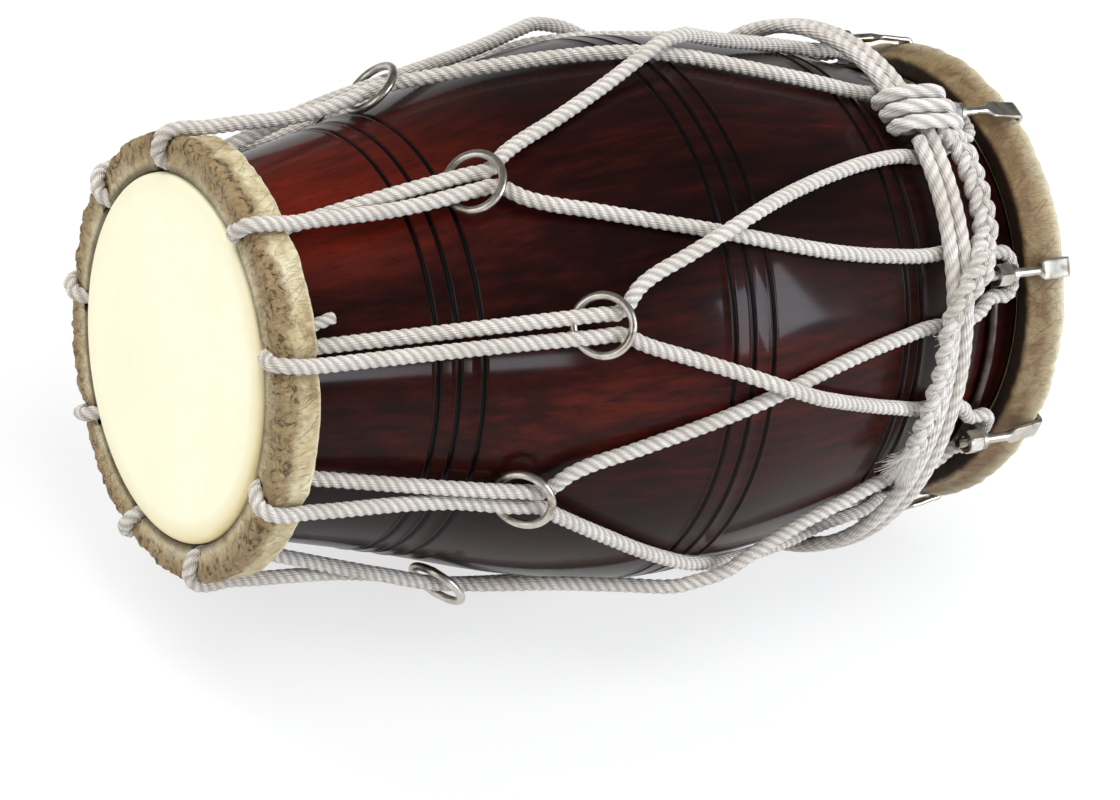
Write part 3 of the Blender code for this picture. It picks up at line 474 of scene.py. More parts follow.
def wrapped_hoop(name, front, way, in_r, out_front, out_rear, corners, ties, bite, tie_width, seam_share):
    """A hoop in its hide: pulled in at its ties, wrinkled between them, wound aslant and puckered at its seam."""
    steps, count = 1200, 62
    xs, rs = hide_section(front, way, in_r, out_front, out_rear, corners, count)
    middle_r = (in_r + out_rear) / 2
    points, fields = [], {"seam": [], "pale": [], "brown": [], "dark": []}
    for x, r in zip(xs, rs):
        back = abs(x - front)
        inner = 1.0 - part_of(r, in_r + 0.0015, in_r + 0.0045)
        outer = part_of(r, out_rear - 0.006, out_rear - 0.002)
        rear_face = part_of(back, hoop_width - 0.0016, hoop_width - 0.0002)
        rear_face *= 1.0 - part_of(r, out_rear - 0.003, out_rear - 0.001)
        shift = lace_spread * max(min((r - middle_r) / 0.007, 1.0), -1.0)
        lip = bell(back, hoop_width - 0.0008, 0.0010) * outer * seam_share
        # The bass hoop's brown mottle is real all over its hide; the extra share on the rear part of its outer side is
        # painted shade, as that part faces away from the light.
        mottle_and_rear_shade_share = (1.0 - seam_share) * (0.66 + 0.34 * part_of(back, 0.0070, 0.0120))
        on_front = part_of(r, in_r + 0.0030, middle_r + 0.003) * seam_share
        for j in range(steps):
            deg = 360.0 * j / steps
            a = math.radians(deg)
            nearest = min(abs((deg - t - (shift if bite else 0.0) + 180.0) % 360.0 - 180.0) for t in ties)
            away = math.radians(nearest) * r
            tied = bell(away, 0.0, tie_width)
            here = Vector((x, r * math.cos(a), r * math.sin(a)))
            uneven = noise.fractal(Vector((a * 9.0, r * 60.0, 5.0)), 0.8, 2.1, 3) * 0.0030
            on_seam = on_front * (1.0 - part_of(back + uneven, 0.0050, 0.0095))
            wrinkle = noise.fractal(here * 62.0, 0.9, 2.1, 4) * 0.00060
            ridge = noise.noise(Vector((x * 55.0 + a * 3.0, a * 21.0, 3.0))) * 0.00070
            wound = (a * r / 0.0150 + back * 55.0 + noise.noise(here * 24.0)) % 1.0
            wound_share = 0.35 + 0.65 * max(math.cos(a - 1.0), 0.0)
            layer = (min(wound / 0.85, (1.0 - wound) / 0.15) - 0.5) * 0.00060 * wound_share * (0.3 + 0.7 * seam_share)
            crumple = noise.fractal(Vector((a * 30.0, x * 190.0, r * 190.0)), 0.7, 2.2, 4) * 0.0007
            rise = wrinkle * (0.4 + 0.6 * outer) + ridge + layer * (1.0 - on_seam) + on_seam * (0.0004 + crumple)
            rise += lip * 0.0005 + outer * 0.0009 * (1.0 - tied) - bite * bell(away, 0.0, 0.0044) - 0.0004 * tied
            new_r = r + rise * (1.0 - inner) * (1.0 if r > middle_r else 0.4)
            new_x = x - way * rise * (1.0 - part_of(back, 0.0, 0.0050)) * (1.0 - inner) * 0.8
            tunnel = 0.0
            half = rope_r + 0.0005
            if bite and inner > 0.0 and away < half + 0.0025:
                roof = inner_rope_r + math.sqrt(max(half * half - min(away, half) ** 2, 0.0))
                tunnel = inner * (1.0 - part_of(away, half, half + 0.0025))
                new_r += max(roof - new_r, 0.0) * tunnel
            points.append(spot(new_x, new_r, deg))
            fields["seam"].append(on_seam)
            fields["pale"].append(max(lip, bell(back, 0.0015, 0.0030) * outer * (1.0 - seam_share)))
            fields["brown"].append(mottle_and_rear_shade_share)
            # Painted shade: near black in the rope's tunnels, on the inner side and on the rear face.
            fields["dark"].append(max(tunnel * 0.9, inner * 0.7, rear_face * (0.97 - 0.60 * seam_share)))
    mesh = mesh_from(name, points, ring_faces(count, steps, True))
    painted(mesh, **fields)
    return mesh


treble_hide = wrapped_hoop(
    "treble_hoop_hide", 0.001, 1, 0.09045, 0.1075, 0.1075, (0.0016, 0.0042, 0.0030, 0.0030), laces, 0.0016, 0.0075, 1.0)
fit("treble_hoop_hide", treble_hide, hide, "rawhide", "drum", "treble_hoop_wrap")
bass_hide = wrapped_hoop(
    "bass_hoop_hide", 0.4605, -1, 0.1089, 0.1250, 0.1200, (0.0020, 0.0036, 0.0026, 0.0030), hooks, 0.0, 0.0085, 0.0)
fit("bass_hoop_hide", bass_hide, hide, "rawhide", "drum", "bass_hoop_wrap")


# Anchor ring. An iron rod is bent round the shell near the bass end, with a plated lug, drilled for a hook
# bolt, forged on it at each hook. The lacing's bights lie behind the lugs, so the ring carries both heads.
iron = Finish("forged_iron", Metallic=1.0, Roughness=0.45)
rust = iron.cloud(140.0, 5.0, 0.6)
bare = iron.ramp(
    rust, (0.3, (0.050, 0.040, 0.034)), (0.6, (0.120, 0.098, 0.080)), (0.75, (0.170, 0.095, 0.055)),
)
plated = iron.ramp(rust, (0.3, (0.300, 0.270, 0.215)), (0.6, (0.560, 0.540, 0.490)), (0.8, (0.380, 0.300, 0.200)))
iron.drive(
    Base_Color=iron.tint(iron.attribute("plated"), bare, plated),
    Roughness=rust * 0.4 + 0.22, Normal=iron.bump(rust, 0.35, 0.0004),
)
anchor_x, rod_r = 0.420, 0.0025
rod_centre = shell_r(anchor_x) + 0.00035 + rod_r
bolt_r, bolt_axis, hole_r = 0.0025, 0.1292, 0.00285
lug_half = 0.0020


def about(deg, x, r):
    """Carries a piece made with its x along the drum and its z outwards to its place round the drum."""
    return lie @ Matrix.Rotation(math.radians(deg - 90.0), 4, "X") @ Matrix.Translation((x, 0.0, r))


def set_at(mesh, place):
    placed = mesh.copy()
    placed.transform(place)
    return placed


def lug():
    """A plate, rounded over its bolt hole, whose foot is forged round the rod."""
    wide, foot, ease, sides = 0.00505, rod_centre - bolt_axis, 0.0006, 48
    hole, rim = [], []
    for j in range(sides):
        a = 2 * math.pi * j / sides
        y, z = math.cos(a), math.sin(a)
        edge = wide if z >= 0 else min(wide / max(abs(y), 1e-6), foot / min(z, -1e-6))
        hole.append((y, z, hole_r))
        rim.append((y, z, edge))
    rows = (
        (-lug_half, hole, ease), (-lug_half + ease, hole, 0.0), (lug_half - ease, hole, 0.0), (lug_half, hole, ease),
        (lug_half, rim, -ease), (lug_half - ease, rim, 0.0), (-lug_half + ease, rim, 0.0), (-lug_half, rim, -ease),
    )
    points = [(x, y * (reach + inset), z * (reach + inset)) for x, row, inset in rows for y, z, reach in row]
    return mesh_from("lug", points, ring_faces(len(rows), sides, True))


def merged(name, meshes, sharp):
    """Loose meshes of one piece as one mesh, with its edges sharp above an angle."""
    work = bmesh.new()
    for mesh in meshes:
        work.from_mesh(mesh)
        bpy.data.meshes.remove(mesh)
    whole = bpy.data.meshes.new(name)
    work.to_mesh(whole)
    work.free()
    whole.polygons.foreach_set("use_smooth", [True] * len(whole.polygons))
    whole.set_sharp_from_angle(angle=math.radians(sharp))
    return whole


rod = turned("rod", [
    (anchor_x + rod_r * math.cos(a), rod_centre + rod_r * math.sin(a)) for a in np.linspace(0, 2 * math.pi, 17)[:-1]
], 192)
painted(rod, plated=[0.0] * len(rod.vertices))
lug_mesh = lug()
painted(lug_mesh, plated=[1.0] * len(lug_mesh.vertices))
lugs = [set_at(lug_mesh, about(deg, anchor_x, bolt_axis)) for deg in hooks]
fit("anchor_ring_forged", merged("anchor_ring_forged", [rod] + lugs, 35.0), iron, "black_iron", "drum", "anchor_ring")


# Hook bolts. Each is one steel rod, threaded at its treble end and hammered flat at the other, where it is
# bent over the bass hoop and clawed over its front. The nickel plate is rubbed to brown here and there.
nickel = Finish("worn_nickel_plate", Metallic=1.0, Roughness=0.28)
smears = nickel.cloud(90.0, 4.0, 0.6, 0.6)
scratches = nickel.cloud(40.0, 5.0, 0.7, 0.0, nickel.along_drum((2.0, 24.0, 24.0)))
plate = nickel.ramp(
    smears, (0.32, (0.260, 0.210, 0.140)), (0.48, (0.520, 0.485, 0.420)), (0.70, (0.690, 0.670, 0.620)),
)
nickel.drive(
    Base_Color=nickel.tint(nickel.level(scratches, 0.58, 0.68) * 0.6, plate, (0.240, 0.170, 0.095)),
    Roughness=smears * 0.35 + 0.16, Normal=nickel.bump(scratches, 0.15, 0.0002),
)
hoop_front, hoop_out = 0.4605, 0.1250
half_thick, half_wide = 0.0013, 0.00525
bolt_end, thread_end, flat_from, flat_to = 0.404, 0.4185, 0.4370, 0.4428
thread_pitch, thread_cut = 0.0008, 0.10


def hook_line():
    """(x, r, how flat) along the bolt: the rod, the hammered neck, the strap over the hoop and the claw."""
    rows = [(x, bolt_axis, 0.0) for x in np.arange(bolt_end, thread_end, thread_pitch / 5)]
    rows += [(x, bolt_axis, 0.0) for x in np.linspace(thread_end, flat_from, 8)]
    for t in np.linspace(0.1, 1.0, 10):
        rows.append((flat_from + (flat_to - flat_from) * t, bolt_axis, t * t * (3 - 2 * t)))
    over, bend = hoop_out + 0.0021, 0.0030
    claw_x = hoop_front + 0.0004 + half_thick
    for t in np.linspace(0.08, 1.0, 9):
        ease = t * t * (3 - 2 * t) * 0.5 + t * 0.5
        rows.append((flat_to + (claw_x - bend - flat_to) * t, bolt_axis + (over - bolt_axis) * ease, 1.0))
    for a in np.linspace(78.0, 0.0, 7):
        c = math.radians(a)
        rows.append((claw_x - bend + bend * math.cos(c), over - bend + bend * math.sin(c), 1.0))
    return rows + [(claw_x, r, 1.0) for r in np.linspace(over - bend - 0.0012, hoop_out - 0.009, 7)]


def hook_mesh():
    rows, sides, points = hook_line(), 28, []
    line = np.array([row[:2] for row in rows])
    last_r = line[-1][1]
    for i, (x, r, flat) in enumerate(rows):
        d = line[min(i + 1, len(line) - 1)] - line[max(i - 1, 0)]
        d = d / np.hypot(*d)
        wide = bolt_r + (half_wide - bolt_r) * flat
        tall = bolt_r + (half_thick - bolt_r) * flat
        if x > hoop_front:
            wide *= 1.0 - 0.22 * (1.0 - part_of(r, last_r, last_r + 0.0016))
        square = 2.0 / (2.0 + 3.0 * flat)
        for j in range(sides):
            a = 2 * math.pi * j / sides
            y = wide * math.copysign(abs(math.cos(a)) ** square, math.cos(a))
            up = tall * math.copysign(abs(math.sin(a)) ** square, math.sin(a))
            if x < thread_end:
                turn_share = 0.5 + 0.5 * math.cos(2 * math.pi * x / thread_pitch - a)
                cut = 1.0 - thread_cut * turn_share - 0.14 * (1.0 - part_of(x, bolt_end, bolt_end + 0.0008))
                y, up = y * cut, up * cut
            points.append((x - anchor_x - d[1] * up, y, r - bolt_axis + d[0] * up))
    faces = ring_faces(len(rows), sides, False)
    faces += [tuple(range(sides)), tuple(range((len(rows) - 1) * sides, len(rows) * sides))]
    return mesh_from("hook", points, faces)


hook = hook_mesh()
for k, deg in enumerate(hooks):
    placed = set_at(hook, about(deg, anchor_x, bolt_axis))
    placed.set_sharp_from_angle(angle=math.radians(40.0))
    fit(f"hook_bolt_{k + 1}_forged", placed, nickel, "nickel_steel", f"hook_bolt_{k + 1}", f"hook_bolt_{k + 1}")


# Nuts. Plated hexagon nuts with chamfered corners draw the hooks towards the anchor ring, and so tighten
# the bass head.
def nut_mesh():
    apothem, thick, chamfer, sides = 0.0056, 0.0085, 0.0010, 96
    back = -lug_half - 0.00035 - thick
    corner, cap = apothem / math.cos(math.pi / 6), apothem * 0.985
    rows = (
        (back, cap, True), (back + chamfer, corner, True), (back + thick / 2, corner, True),
        (back + thick - chamfer, corner, True), (back + thick, cap, True), (back + thick, hole_r + 0.0005, False),
        (back + thick - 0.0005, hole_r, False), (back + 0.0005, hole_r, False), (back, hole_r + 0.0005, False),
    )
    points = []
    for x, reach, hexagon in rows:
        for j in range(sides):
            a = 2 * math.pi * j / sides
            flat = apothem / math.cos((a + math.pi / 6) % (math.pi / 3) - math.pi / 6)
            size = min(flat, reach) if hexagon else reach
            points.append((x, size * math.cos(a), size * math.sin(a)))
    return mesh_from("nut", points, ring_faces(len(rows), sides, True))


nut = nut_mesh()
for k, deg in enumerate(hooks):
    placed = set_at(nut, about(deg, anchor_x, bolt_axis))
    placed.set_sharp_from_angle(angle=math.radians(24.0))
    fit(f"bolt_nut_{k + 1}_turned", placed, nickel, "nickel_steel", f"bolt_nut_{k + 1}", f"bolt_nut_{k + 1}")


# Lacing. One soft cotton rope of three strands, over eight metres long, is pulled through the treble hoop
# nine times and round the lugs at the bass end, stepping on by two each time, so that it laces all nine.
ring_x = (0.116, 0.118, 0.160, 0.131, 0.135, 0.120, 0.138, 0.124, 0.130)
clear = 0.00035
rope_over = rope_r + 1.8 * clear
ring_outer, ring_wire, ring_rise = 0.0165, 0.0021, 0.0130
hoop_rear, front_rope = 0.022, -0.00165
belt_x, belt_rope_x = 0.3745, 0.370
bight_x = anchor_x + lug_half + 3 * clear + rope_r
bight_r = rod_centre + rod_r + 3.5 * clear + rope_r
bight_half = 0.0112 / math.sqrt(3) + 0.0007 + rope_r
belt_lacing_r = shell_r(belt_x) + rope_over
plain_leg = (0.0, 8.6, 1.35)
upper_legs = {1: (1.6, 12.0, 1.20), 2: (3.0, 10.9, 1.36), 3: (3.2, 9.7, 1.55)}
lower_legs = {1: (2.4, 6.4, 1.85), 2: (0.8, 12.9, 1.10)}


def taut(points, over):
    """A string pulled tight over the shell from the first (x, r) point to the last one."""
    first, last = points[0][0], points[-1][0]
    rows = [(x, r + over) for x, r in zip(outline_x, outline_r) if first < x < last]
    hull = []
    for p in sorted(list(points) + rows):
        while len(hull) > 1 and (
            (hull[-1][0] - hull[-2][0]) * (p[1] - hull[-2][1]) - (hull[-1][1] - hull[-2][1]) * (p[0] - hull[-2][0])
        ) >= 0:
            hull.pop()
        hull.append(p)
    xs, rs = zip(*hull)
    return lambda x: float(np.interp(x, xs, rs))


def ring_place(lace):
    x = ring_x[lace]
    end = (belt_x, belt_lacing_r)
    over = taut([(hoop_rear, outer_rope_r), end], rope_over)
    under = taut([(hoop_rear, inner_rope_r), end], rope_over)
    return x, max((over(x) + under(x)) / 2, shell_r(x - ring_outer / 2) + ring_rise)


def ring_back(lace):
    x, r = ring_place(lace)
    under = x - ring_outer / 2
    return x - 0.036, r - shell_r(under) + shell_r(under - 0.036)


def leg_run(lace, side):
    return (lower_legs if side > 0 else upper_legs).get(lace, plain_leg)


def leg_angle(lace, side):
    flare, from_hook, ease = leg_run(lace, side)
    start = laces[lace] + side * (lace_spread + flare)
    hook_at = lace + side
    end = hooks[hook_at % 9] + 360.0 * (hook_at // 9) - side * from_hook
    free = ring_x[lace] + 0.009

    def angle(x):
        t = min(max((x - free) / (belt_rope_x - free), 0.0), 1.0)
        pinch = flare * math.exp(-max(x - free, 0.0) / 0.006)
        return start + (end - start) * (1 - (1 - t) ** ease) - side * pinch

    return angle


def crossing_x(lace):
    low, high = leg_angle(lace, +1), leg_angle((lace + 1) % 9, -1)
    turn_on = 360.0 if lace == 8 else 0.0
    xs = np.linspace(max(ring_x[lace], ring_x[(lace + 1) % 9]) + 0.01, belt_rope_x, 400)
    return float(xs[int(np.argmin([abs(low(x) - high(x) - turn_on) for x in xs]))])


def leg(lace, side):
    """One leg, from behind the hoop through its ring and over the belly to the belt."""
    angle = leg_angle(lace, side)
    ring_at, back = ring_place(lace), ring_back(lace)
    hoop_r = outer_rope_r if side > 0 else inner_rope_r
    after = taut([ring_at, (belt_x, belt_lacing_r)], rope_over)
    cross = lace if side > 0 else (lace - 1) % 9
    on_top = (side > 0) == (cross == 2)
    cross_x = crossing_x(cross)
    share = 0.010 / (back[0] - hoop_rear)
    points = [(hoop_rear + 0.010, hoop_r + (back[1] - hoop_r) * share, angle(0.0))]
    points += [(*back, angle(0.0)), (*ring_at, angle(0.0))]
    stops = [ring_at[0] + 0.009, cross_x - 0.012, cross_x + 0.012]
    for x in sorted(stops + list(np.linspace(ring_at[0] + 0.022, belt_rope_x, 8))):
        lift = 0.0
        if on_top:
            off = max(abs(x - cross_x) - 0.012, 0.0) / 0.070
            lift = (2 * rope_r + 0.0009) * max(1.0 - off, 0.0) ** 2
        points.append((x, after(x) + lift, angle(x)))
    return points


def round_hoop(lace):
    """The rope comes in under the hoop, goes round its front and lies back over it."""
    corner = 0.0075
    section = [(hoop_rear, inner_rope_r), (front_rope + corner, inner_rope_r)]
    for a in (225.0, 180.0):
        c = math.radians(a)
        section.append((front_rope + corner + corner * math.cos(c), inner_rope_r + corner + corner * math.sin(c)))
    for a in (180.0, 135.0, 90.0):
        c = math.radians(a)
        section.append((front_rope + corner + corner * math.cos(c), outer_rope_r - corner + corner * math.sin(c)))
    section.append((hoop_rear, outer_rope_r))
    return [(x, r, laces[lace] + lace_spread * s) for (x, r), s in zip(section, np.linspace(-1.0, 1.0, 8))]


def half_bight(hook_at, side):
    """From the belt to the lug of one hook, up to the top of the rope's turn behind it."""
    from_hook = leg_run((hook_at + side) % 9, -side)[1]
    wide = [math.degrees(w / bight_r) for w in (bight_half, bight_half - 0.0034, 0.0030)]
    rows = (
        (belt_x + 0.004, belt_lacing_r, from_hook + 0.4),
        (anchor_x - 0.020, (belt_lacing_r + bight_r) / 2, wide[0] + (from_hook - wide[0]) * 0.45 + 1.3),
        (anchor_x - 0.008, bight_r, wide[0]), (anchor_x + lug_half, bight_r, wide[0]),
        (bight_x - 0.0009, bight_r - 0.0008, wide[1]), (bight_x + 0.0009, bight_r - 0.0016, wide[2]),
    )
    return [(x, r, hooks[hook_at % 9] + side * d) for x, r, d in rows]


def lacing_route():
    route, lace = [], 0
    for step in range(9):
        first = list(reversed(half_bight(lace - 1, +1)))
        last = half_bight(lace + 1, -1)
        route += first if step else first[2:]
        route += list(reversed(leg(lace, -1))) + round_hoop(lace) + leg(lace, +1)
        route += last if step < 8 else last[:-2]
        lace = (lace + 2) % 9
    return [spot(*p) for p in route]


def new_tree(name, numbers, whole):
    """An empty Geometry Nodes tree with named inputs; its inputs come back as values."""
    tree = bpy.data.node_groups.new(name, "GeometryNodeTree")
    sockets = [("Geometry", "Geometry", None)] + [(label, "Float", value) for label, value in numbers]
    sockets += [(label, "Int", value) for label, value in whole] + [("Cotton", "Material", None)]
    for label, kind, value in sockets:
        socket = tree.interface.new_socket(label, in_out="INPUT", socket_type="NodeSocket" + kind)
        if value is not None:
            socket.default_value = value
    tree.interface.new_socket("Geometry", in_out="OUTPUT", socket_type="NodeSocketGeometry")
    nodes = Nodes(tree)
    given = tree.nodes.new("NodeGroupInput")
    return nodes, [Value(nodes, socket) for socket in given.outputs[:len(sockets)]]


def ended(nodes, geometry, material):
    real = nodes.node("GeometryNodeRealizeInstances", None, {"Geometry": geometry})
    real = nodes.node("GeometryNodeSetMaterial", None, {"Geometry": real, "Material": material})
    end = nodes.tree.nodes.new("NodeGroupOutput")
    nodes.tree.links.new(real.socket, end.inputs[0])
    return nodes.tree


def rope_tree():
    """Sweeps a three-lobed section along a curve, turning once for each lay length."""
    nodes, given = new_tree(
        "laid_rope", (("Radius", rope_r), ("Lay length", 0.0145), ("Step", 0.0013), ("Groove depth", 0.15)),
        (("Sides", 15),))
    line, radius, lay, step, groove, sides, cotton = given
    line = nodes.node("GeometryNodeResampleCurve", {"mode": "LENGTH"}, {"Curve": line, "Length": step})
    along = nodes.node("GeometryNodeSplineParameter", output=1)
    line = nodes.node("GeometryNodeSetCurveTilt", None, {"Curve": line, "Tilt": along / lay * (2 * math.pi)})
    line = nodes.node("GeometryNodeStoreNamedAttribute", {"data_type": "FLOAT", "domain": "POINT"},
                      {"Geometry": line, "Name": "along", "Value": along})
    circle = nodes.node("GeometryNodeCurvePrimitiveCircle", None, {"Resolution": sides, "Radius": radius})
    angle = nodes.node("GeometryNodeSplineParameter") * (2 * math.pi)
    valley = abs((angle * 1.5).cosine()) ** 3.0
    place = nodes.node("ShaderNodeVectorMath", {"operation": "SCALE"}, {
        "Vector": nodes.node("GeometryNodeInputPosition"), "Scale": 1.0 - valley * groove})
    circle = nodes.node("GeometryNodeSetPosition", None, {"Geometry": circle, "Position": place})
    circle = nodes.node("GeometryNodeStoreNamedAttribute", {"data_type": "FLOAT_VECTOR", "domain": "POINT"}, {
        "Geometry": circle, "Name": "around", "Value": nodes.joined(angle.cosine(), angle.sine(), valley)})
    tube = nodes.node("GeometryNodeCurveToMesh", None, {"Curve": line, "Profile Curve": circle, "Fill Caps": True})
    return ended(nodes, nodes.node("GeometryNodeSetShadeSmooth", None, {"Geometry": tube}), cotton)


def curve_object(name, points, kind="BEZIER"):
    """A smooth open curve through world points."""
    curve = bpy.data.curves.new(name, "CURVE")
    curve.dimensions, curve.twist_mode = "3D", "MINIMUM"
    spline = curve.splines.new(kind)
    if kind == "BEZIER":
        spline.bezier_points.add(len(points) - 1)
        for target, p in zip(spline.bezier_points, points):
            target.co = p
            target.handle_left_type = target.handle_right_type = "AUTO"
        curve.resolution_u = 8
    else:
        spline.points.add(len(points) - 1)
        for target, p in zip(spline.points, points):
            target.co = (*p, 1.0)
    made = bpy.data.objects.new(name, curve)
    bpy.context.scene.collection.objects.link(made)
    return made


def shaped(name, carrier, tree, **sizes):
    """Runs a tree on an object and gives its result as one plain mesh; the object goes."""
    modifier = carrier.modifiers.new("shape", "NODES")
    modifier.node_group = tree
    sockets = {s.name: s.identifier for s in tree.interface.items_tree if s.in_out == "INPUT"}
    for label, value in sizes.items():
        modifier[sockets[label.replace("_", " ")]] = value
    graph = bpy.context.evaluated_depsgraph_get()
    mesh = bpy.data.meshes.new_from_object(carrier.evaluated_get(graph), preserve_all_data_layers=True, depsgraph=graph)
    mesh.name = name
    carrier.modifiers.remove(modifier)
    bpy.data.objects.remove(carrier)
    return mesh


def cotton_finish(name, light, shade, lay, valley_shade, yarns, slant):
    """Soft cotton: fine yarns nearly along the rope, painted shade in the valleys between the strands and between the
    yarns, and loose fuzz.
    """
    made = Finish(name, Roughness=0.9, Specular_IOR_Level=0.12, Sheen_Weight=0.2, Sheen_Roughness=0.5)
    x, y, valley = made.split(made.attribute("around", 1))
    along = made.attribute("along")
    angle = y.maths("ARCTAN2", x) + along * (2 * math.pi / lay)
    fuzz = made.cloud(700.0, 4.0, 0.7)
    ridge = (angle * yarns + along * slant + fuzz * 2.5).sine() * 0.5 + 0.5
    dirt = made.cloud(26.0, 5.0, 0.62, 0.3)
    colour = made.tint(made.level(dirt, 0.32, 0.56), shade, light)
    # Painted shade: darker between the yarns and in the valleys between the strands.
    colour = made.tint((1.0 - ridge) * 0.14, colour, (0.360, 0.300, 0.250))
    colour = made.tint(valley * valley_shade, colour, (0.220, 0.175, 0.145))
    colour = made.tint(made.level(fuzz, 0.46, 0.60) * 0.22, colour, (0.420, 0.360, 0.310))
    made.drive(Base_Color=colour, Normal=made.bump(ridge * 0.55 + fuzz * 1.1, 0.90, 0.0009))
    return made


laid_rope = rope_tree()
lay = 0.0145
cotton = cotton_finish("laid_cotton", (0.930, 0.885, 0.820), (0.780, 0.725, 0.650), lay, 0.62, 18.0, 240.0)
lacing = shaped("lacing_rope_laid", curve_object("lacing", lacing_route()), laid_rope, Cotton=cotton.material)
fit("lacing_rope_laid", lacing, cotton, "cotton_rope", "drum", "lacing_rope")


# Lacing's end. A short cut end of the rope sticks out beside the third lace, behind the treble hoop.
def tail_point(share):
    x = hoop_rear + 3 * clear + share * 0.014
    beside = math.degrees((2 * rope_r + 3 * clear) / inner_rope_r)
    r = shell_r(hoop_rear + 0.014) + rope_over + share * 0.0024
    return spot(x, r, laces[2] - lace_spread - beside - share * 2.0)


tail = shaped("lacing_tail_cut", curve_object("tail", [tail_point(s) for s in (0.0, 0.5, 1.0)]), laid_rope,
              Cotton=cotton.material, Radius=0.0031, Step=0.0006, Sides=24, Groove_depth=0.2)
fit("lacing_tail_cut", tail, cotton, "cotton_rope", "drum", "lacing_tail")


# Tuning rings. Each is a length of thick steel wire, bent round, butt-welded and plated. Pushed towards the
# treble hoop it slackens its two legs, and pulled back towards the belly it draws them together.
def ring_mesh():
    round_steps, wire_steps, centre = 96, 20, ring_outer - ring_wire
    points = []
    for i in range(round_steps):
        a = 2 * math.pi * i / round_steps + 2.4
        wire = ring_wire + 0.00016 * bell(min(i, round_steps - i), 0.0, 1.4)
        for j in range(wire_steps):
            b = 2 * math.pi * j / wire_steps
            reach = centre + wire * math.cos(b)
            points.append((reach * math.cos(a), reach * math.sin(a), wire * math.sin(b)))
    return mesh_from("ring", points, ring_faces(round_steps, wire_steps, True))


ring = ring_mesh()
for k in range(9):
    x, r = ring_place(k)
    centre_line = ring_outer - ring_wire
    reach = r - shell_r(x - centre_line / 2) - ring_wire - clear
    lean = Matrix.Rotation(-math.asin(min(reach / centre_line, 0.9)), 4, "Y")
    placed = set_at(ring, about(laces[k], x, r) @ lean)
    fit(f"tuning_ring_{k + 1}_welded", placed, nickel, "nickel_steel", f"tuning_ring_{k + 1}", f"tuning_ring_{k + 1}")


# Belt. The spare rope goes twice round the drum over the lacing's bass ends and holds them down. Handling
# has flattened its lay and greyed it.
strand_step = 2 * rope_r + 0.0006
knot_deg, belt_shift, belt_end, belt_tilt = 105.0, 6.0, 6.5, 0.005


def belt_line(deg):
    x = belt_x + belt_tilt * math.cos(math.radians(deg - 80.0))
    return x, shell_r(x - 3 * rope_r) + rope_over + 2 * rope_r + 2 * clear


def belt_point(turn_deg):
    across = min(max((turn_deg - 360.0 + belt_shift) / (2 * belt_shift), 0.0), 1.0)
    ease = across * across * (3 - 2 * across)
    x, r = belt_line(knot_deg + turn_deg)
    return spot(x + strand_step * (ease - 0.5), r, knot_deg + turn_deg)


seam_turns = np.linspace(360.0 - belt_shift, 360.0 + belt_shift, 7)
belt_turns = [*np.linspace(belt_end, 360.0 - belt_shift, 48), *seam_turns[1:-1]]
belt_turns += list(np.linspace(360.0 + belt_shift, 720.0 - belt_end, 48))
worn_cotton = cotton_finish("handled_cotton", (0.900, 0.860, 0.805), (0.640, 0.580, 0.515), 0.022, 0.45, 14.0, 700.0)
belt = shaped("belt_rope_laid", curve_object("belt", [belt_point(t) for t in belt_turns]), laid_rope,
              Cotton=worn_cotton.material, Lay_length=0.022, Step=0.0008, Sides=21, Groove_depth=0.09)
fit("belt_rope_laid", belt, worn_cotton, "cotton_rope", "drum", "belt_rope")


# Knot. The belt is tied off with three smooth wraps of its own end round both turns and itself.
def knot_route():
    wide, tall = strand_step + 2 * rope_r + 2 * clear, 2 * rope_r + 2.2 * clear
    at_x, at_r = belt_line(knot_deg)
    points = []
    for i in range(31):
        wraps = i / 10 - 1.5
        a = 2 * math.pi * wraps
        flat = (wide - tall) * min(max(2 * math.sin(a), -1.0), 1.0)
        deg = knot_deg + math.degrees(wraps * (2 * rope_r + 0.0009) / (at_r - tall)) + math.cos(a)
        points.append(spot(at_x + strand_step / 2 + flat + tall * math.sin(a), at_r + tall * math.cos(a), deg))
    return points


knot_cotton = cotton_finish("pulled_cotton", (0.930, 0.895, 0.845), (0.760, 0.710, 0.650), 0.034, 0.60, 15.0, 0.0)
knot = shaped("belt_knot_tied", curve_object("knot", knot_route()), laid_rope, Cotton=knot_cotton.material,
              Lay_length=0.034, Step=0.0007, Sides=24, Groove_depth=0.15)
fit("belt_knot_tied", knot, knot_cotton, "cotton_rope", "drum", "belt_knot")


# Braid. The rope's free end is plaited and laid beside the belt, then over it, where it comes loose and
# ends in a frayed tip. Cotton hairs stand off it here and there.
braid_route = (
    (0.0150, 110.2, 0.0035), (0.0215, 112.0, 0.0010), (0.0255, 115.8, 0.0), (0.0255, 122.0, 0.0), (0.0255, 129.0, 0.0), (0.0240, 134.0, 0.0004),
    (0.0200, 137.0, 0.0018), (0.0150, 139.0, 0.0064), (0.0090, 141.5, 0.0112), (0.0020, 144.0, 0.0114),
    (-0.0050, 147.0, 0.0112), (-0.0092, 151.0, 0.0080), (-0.0104, 156.0, 0.0066), (-0.0110, 161.0, 0.0060),
    (-0.0127, 166.0, 0.0054), (-0.0142, 171.0, 0.0050), (-0.0155, 176.0, 0.0048), (-0.0166, 181.0, 0.0050),
)
braid_r, braid_strand = 0.0050, 0.0029
braid_base = belt_lacing_r + rope_r + clear + braid_r


def braid_line():
    carrier = curve_object("middle", [spot(belt_x + x, braid_base + up, deg) for x, deg, up in braid_route])
    carrier.data.resolution_u = 24
    line = [Vector(v.co) for v in carrier.to_mesh().vertices]
    carrier.to_mesh_clear()
    bpy.data.objects.remove(carrier)
    return line


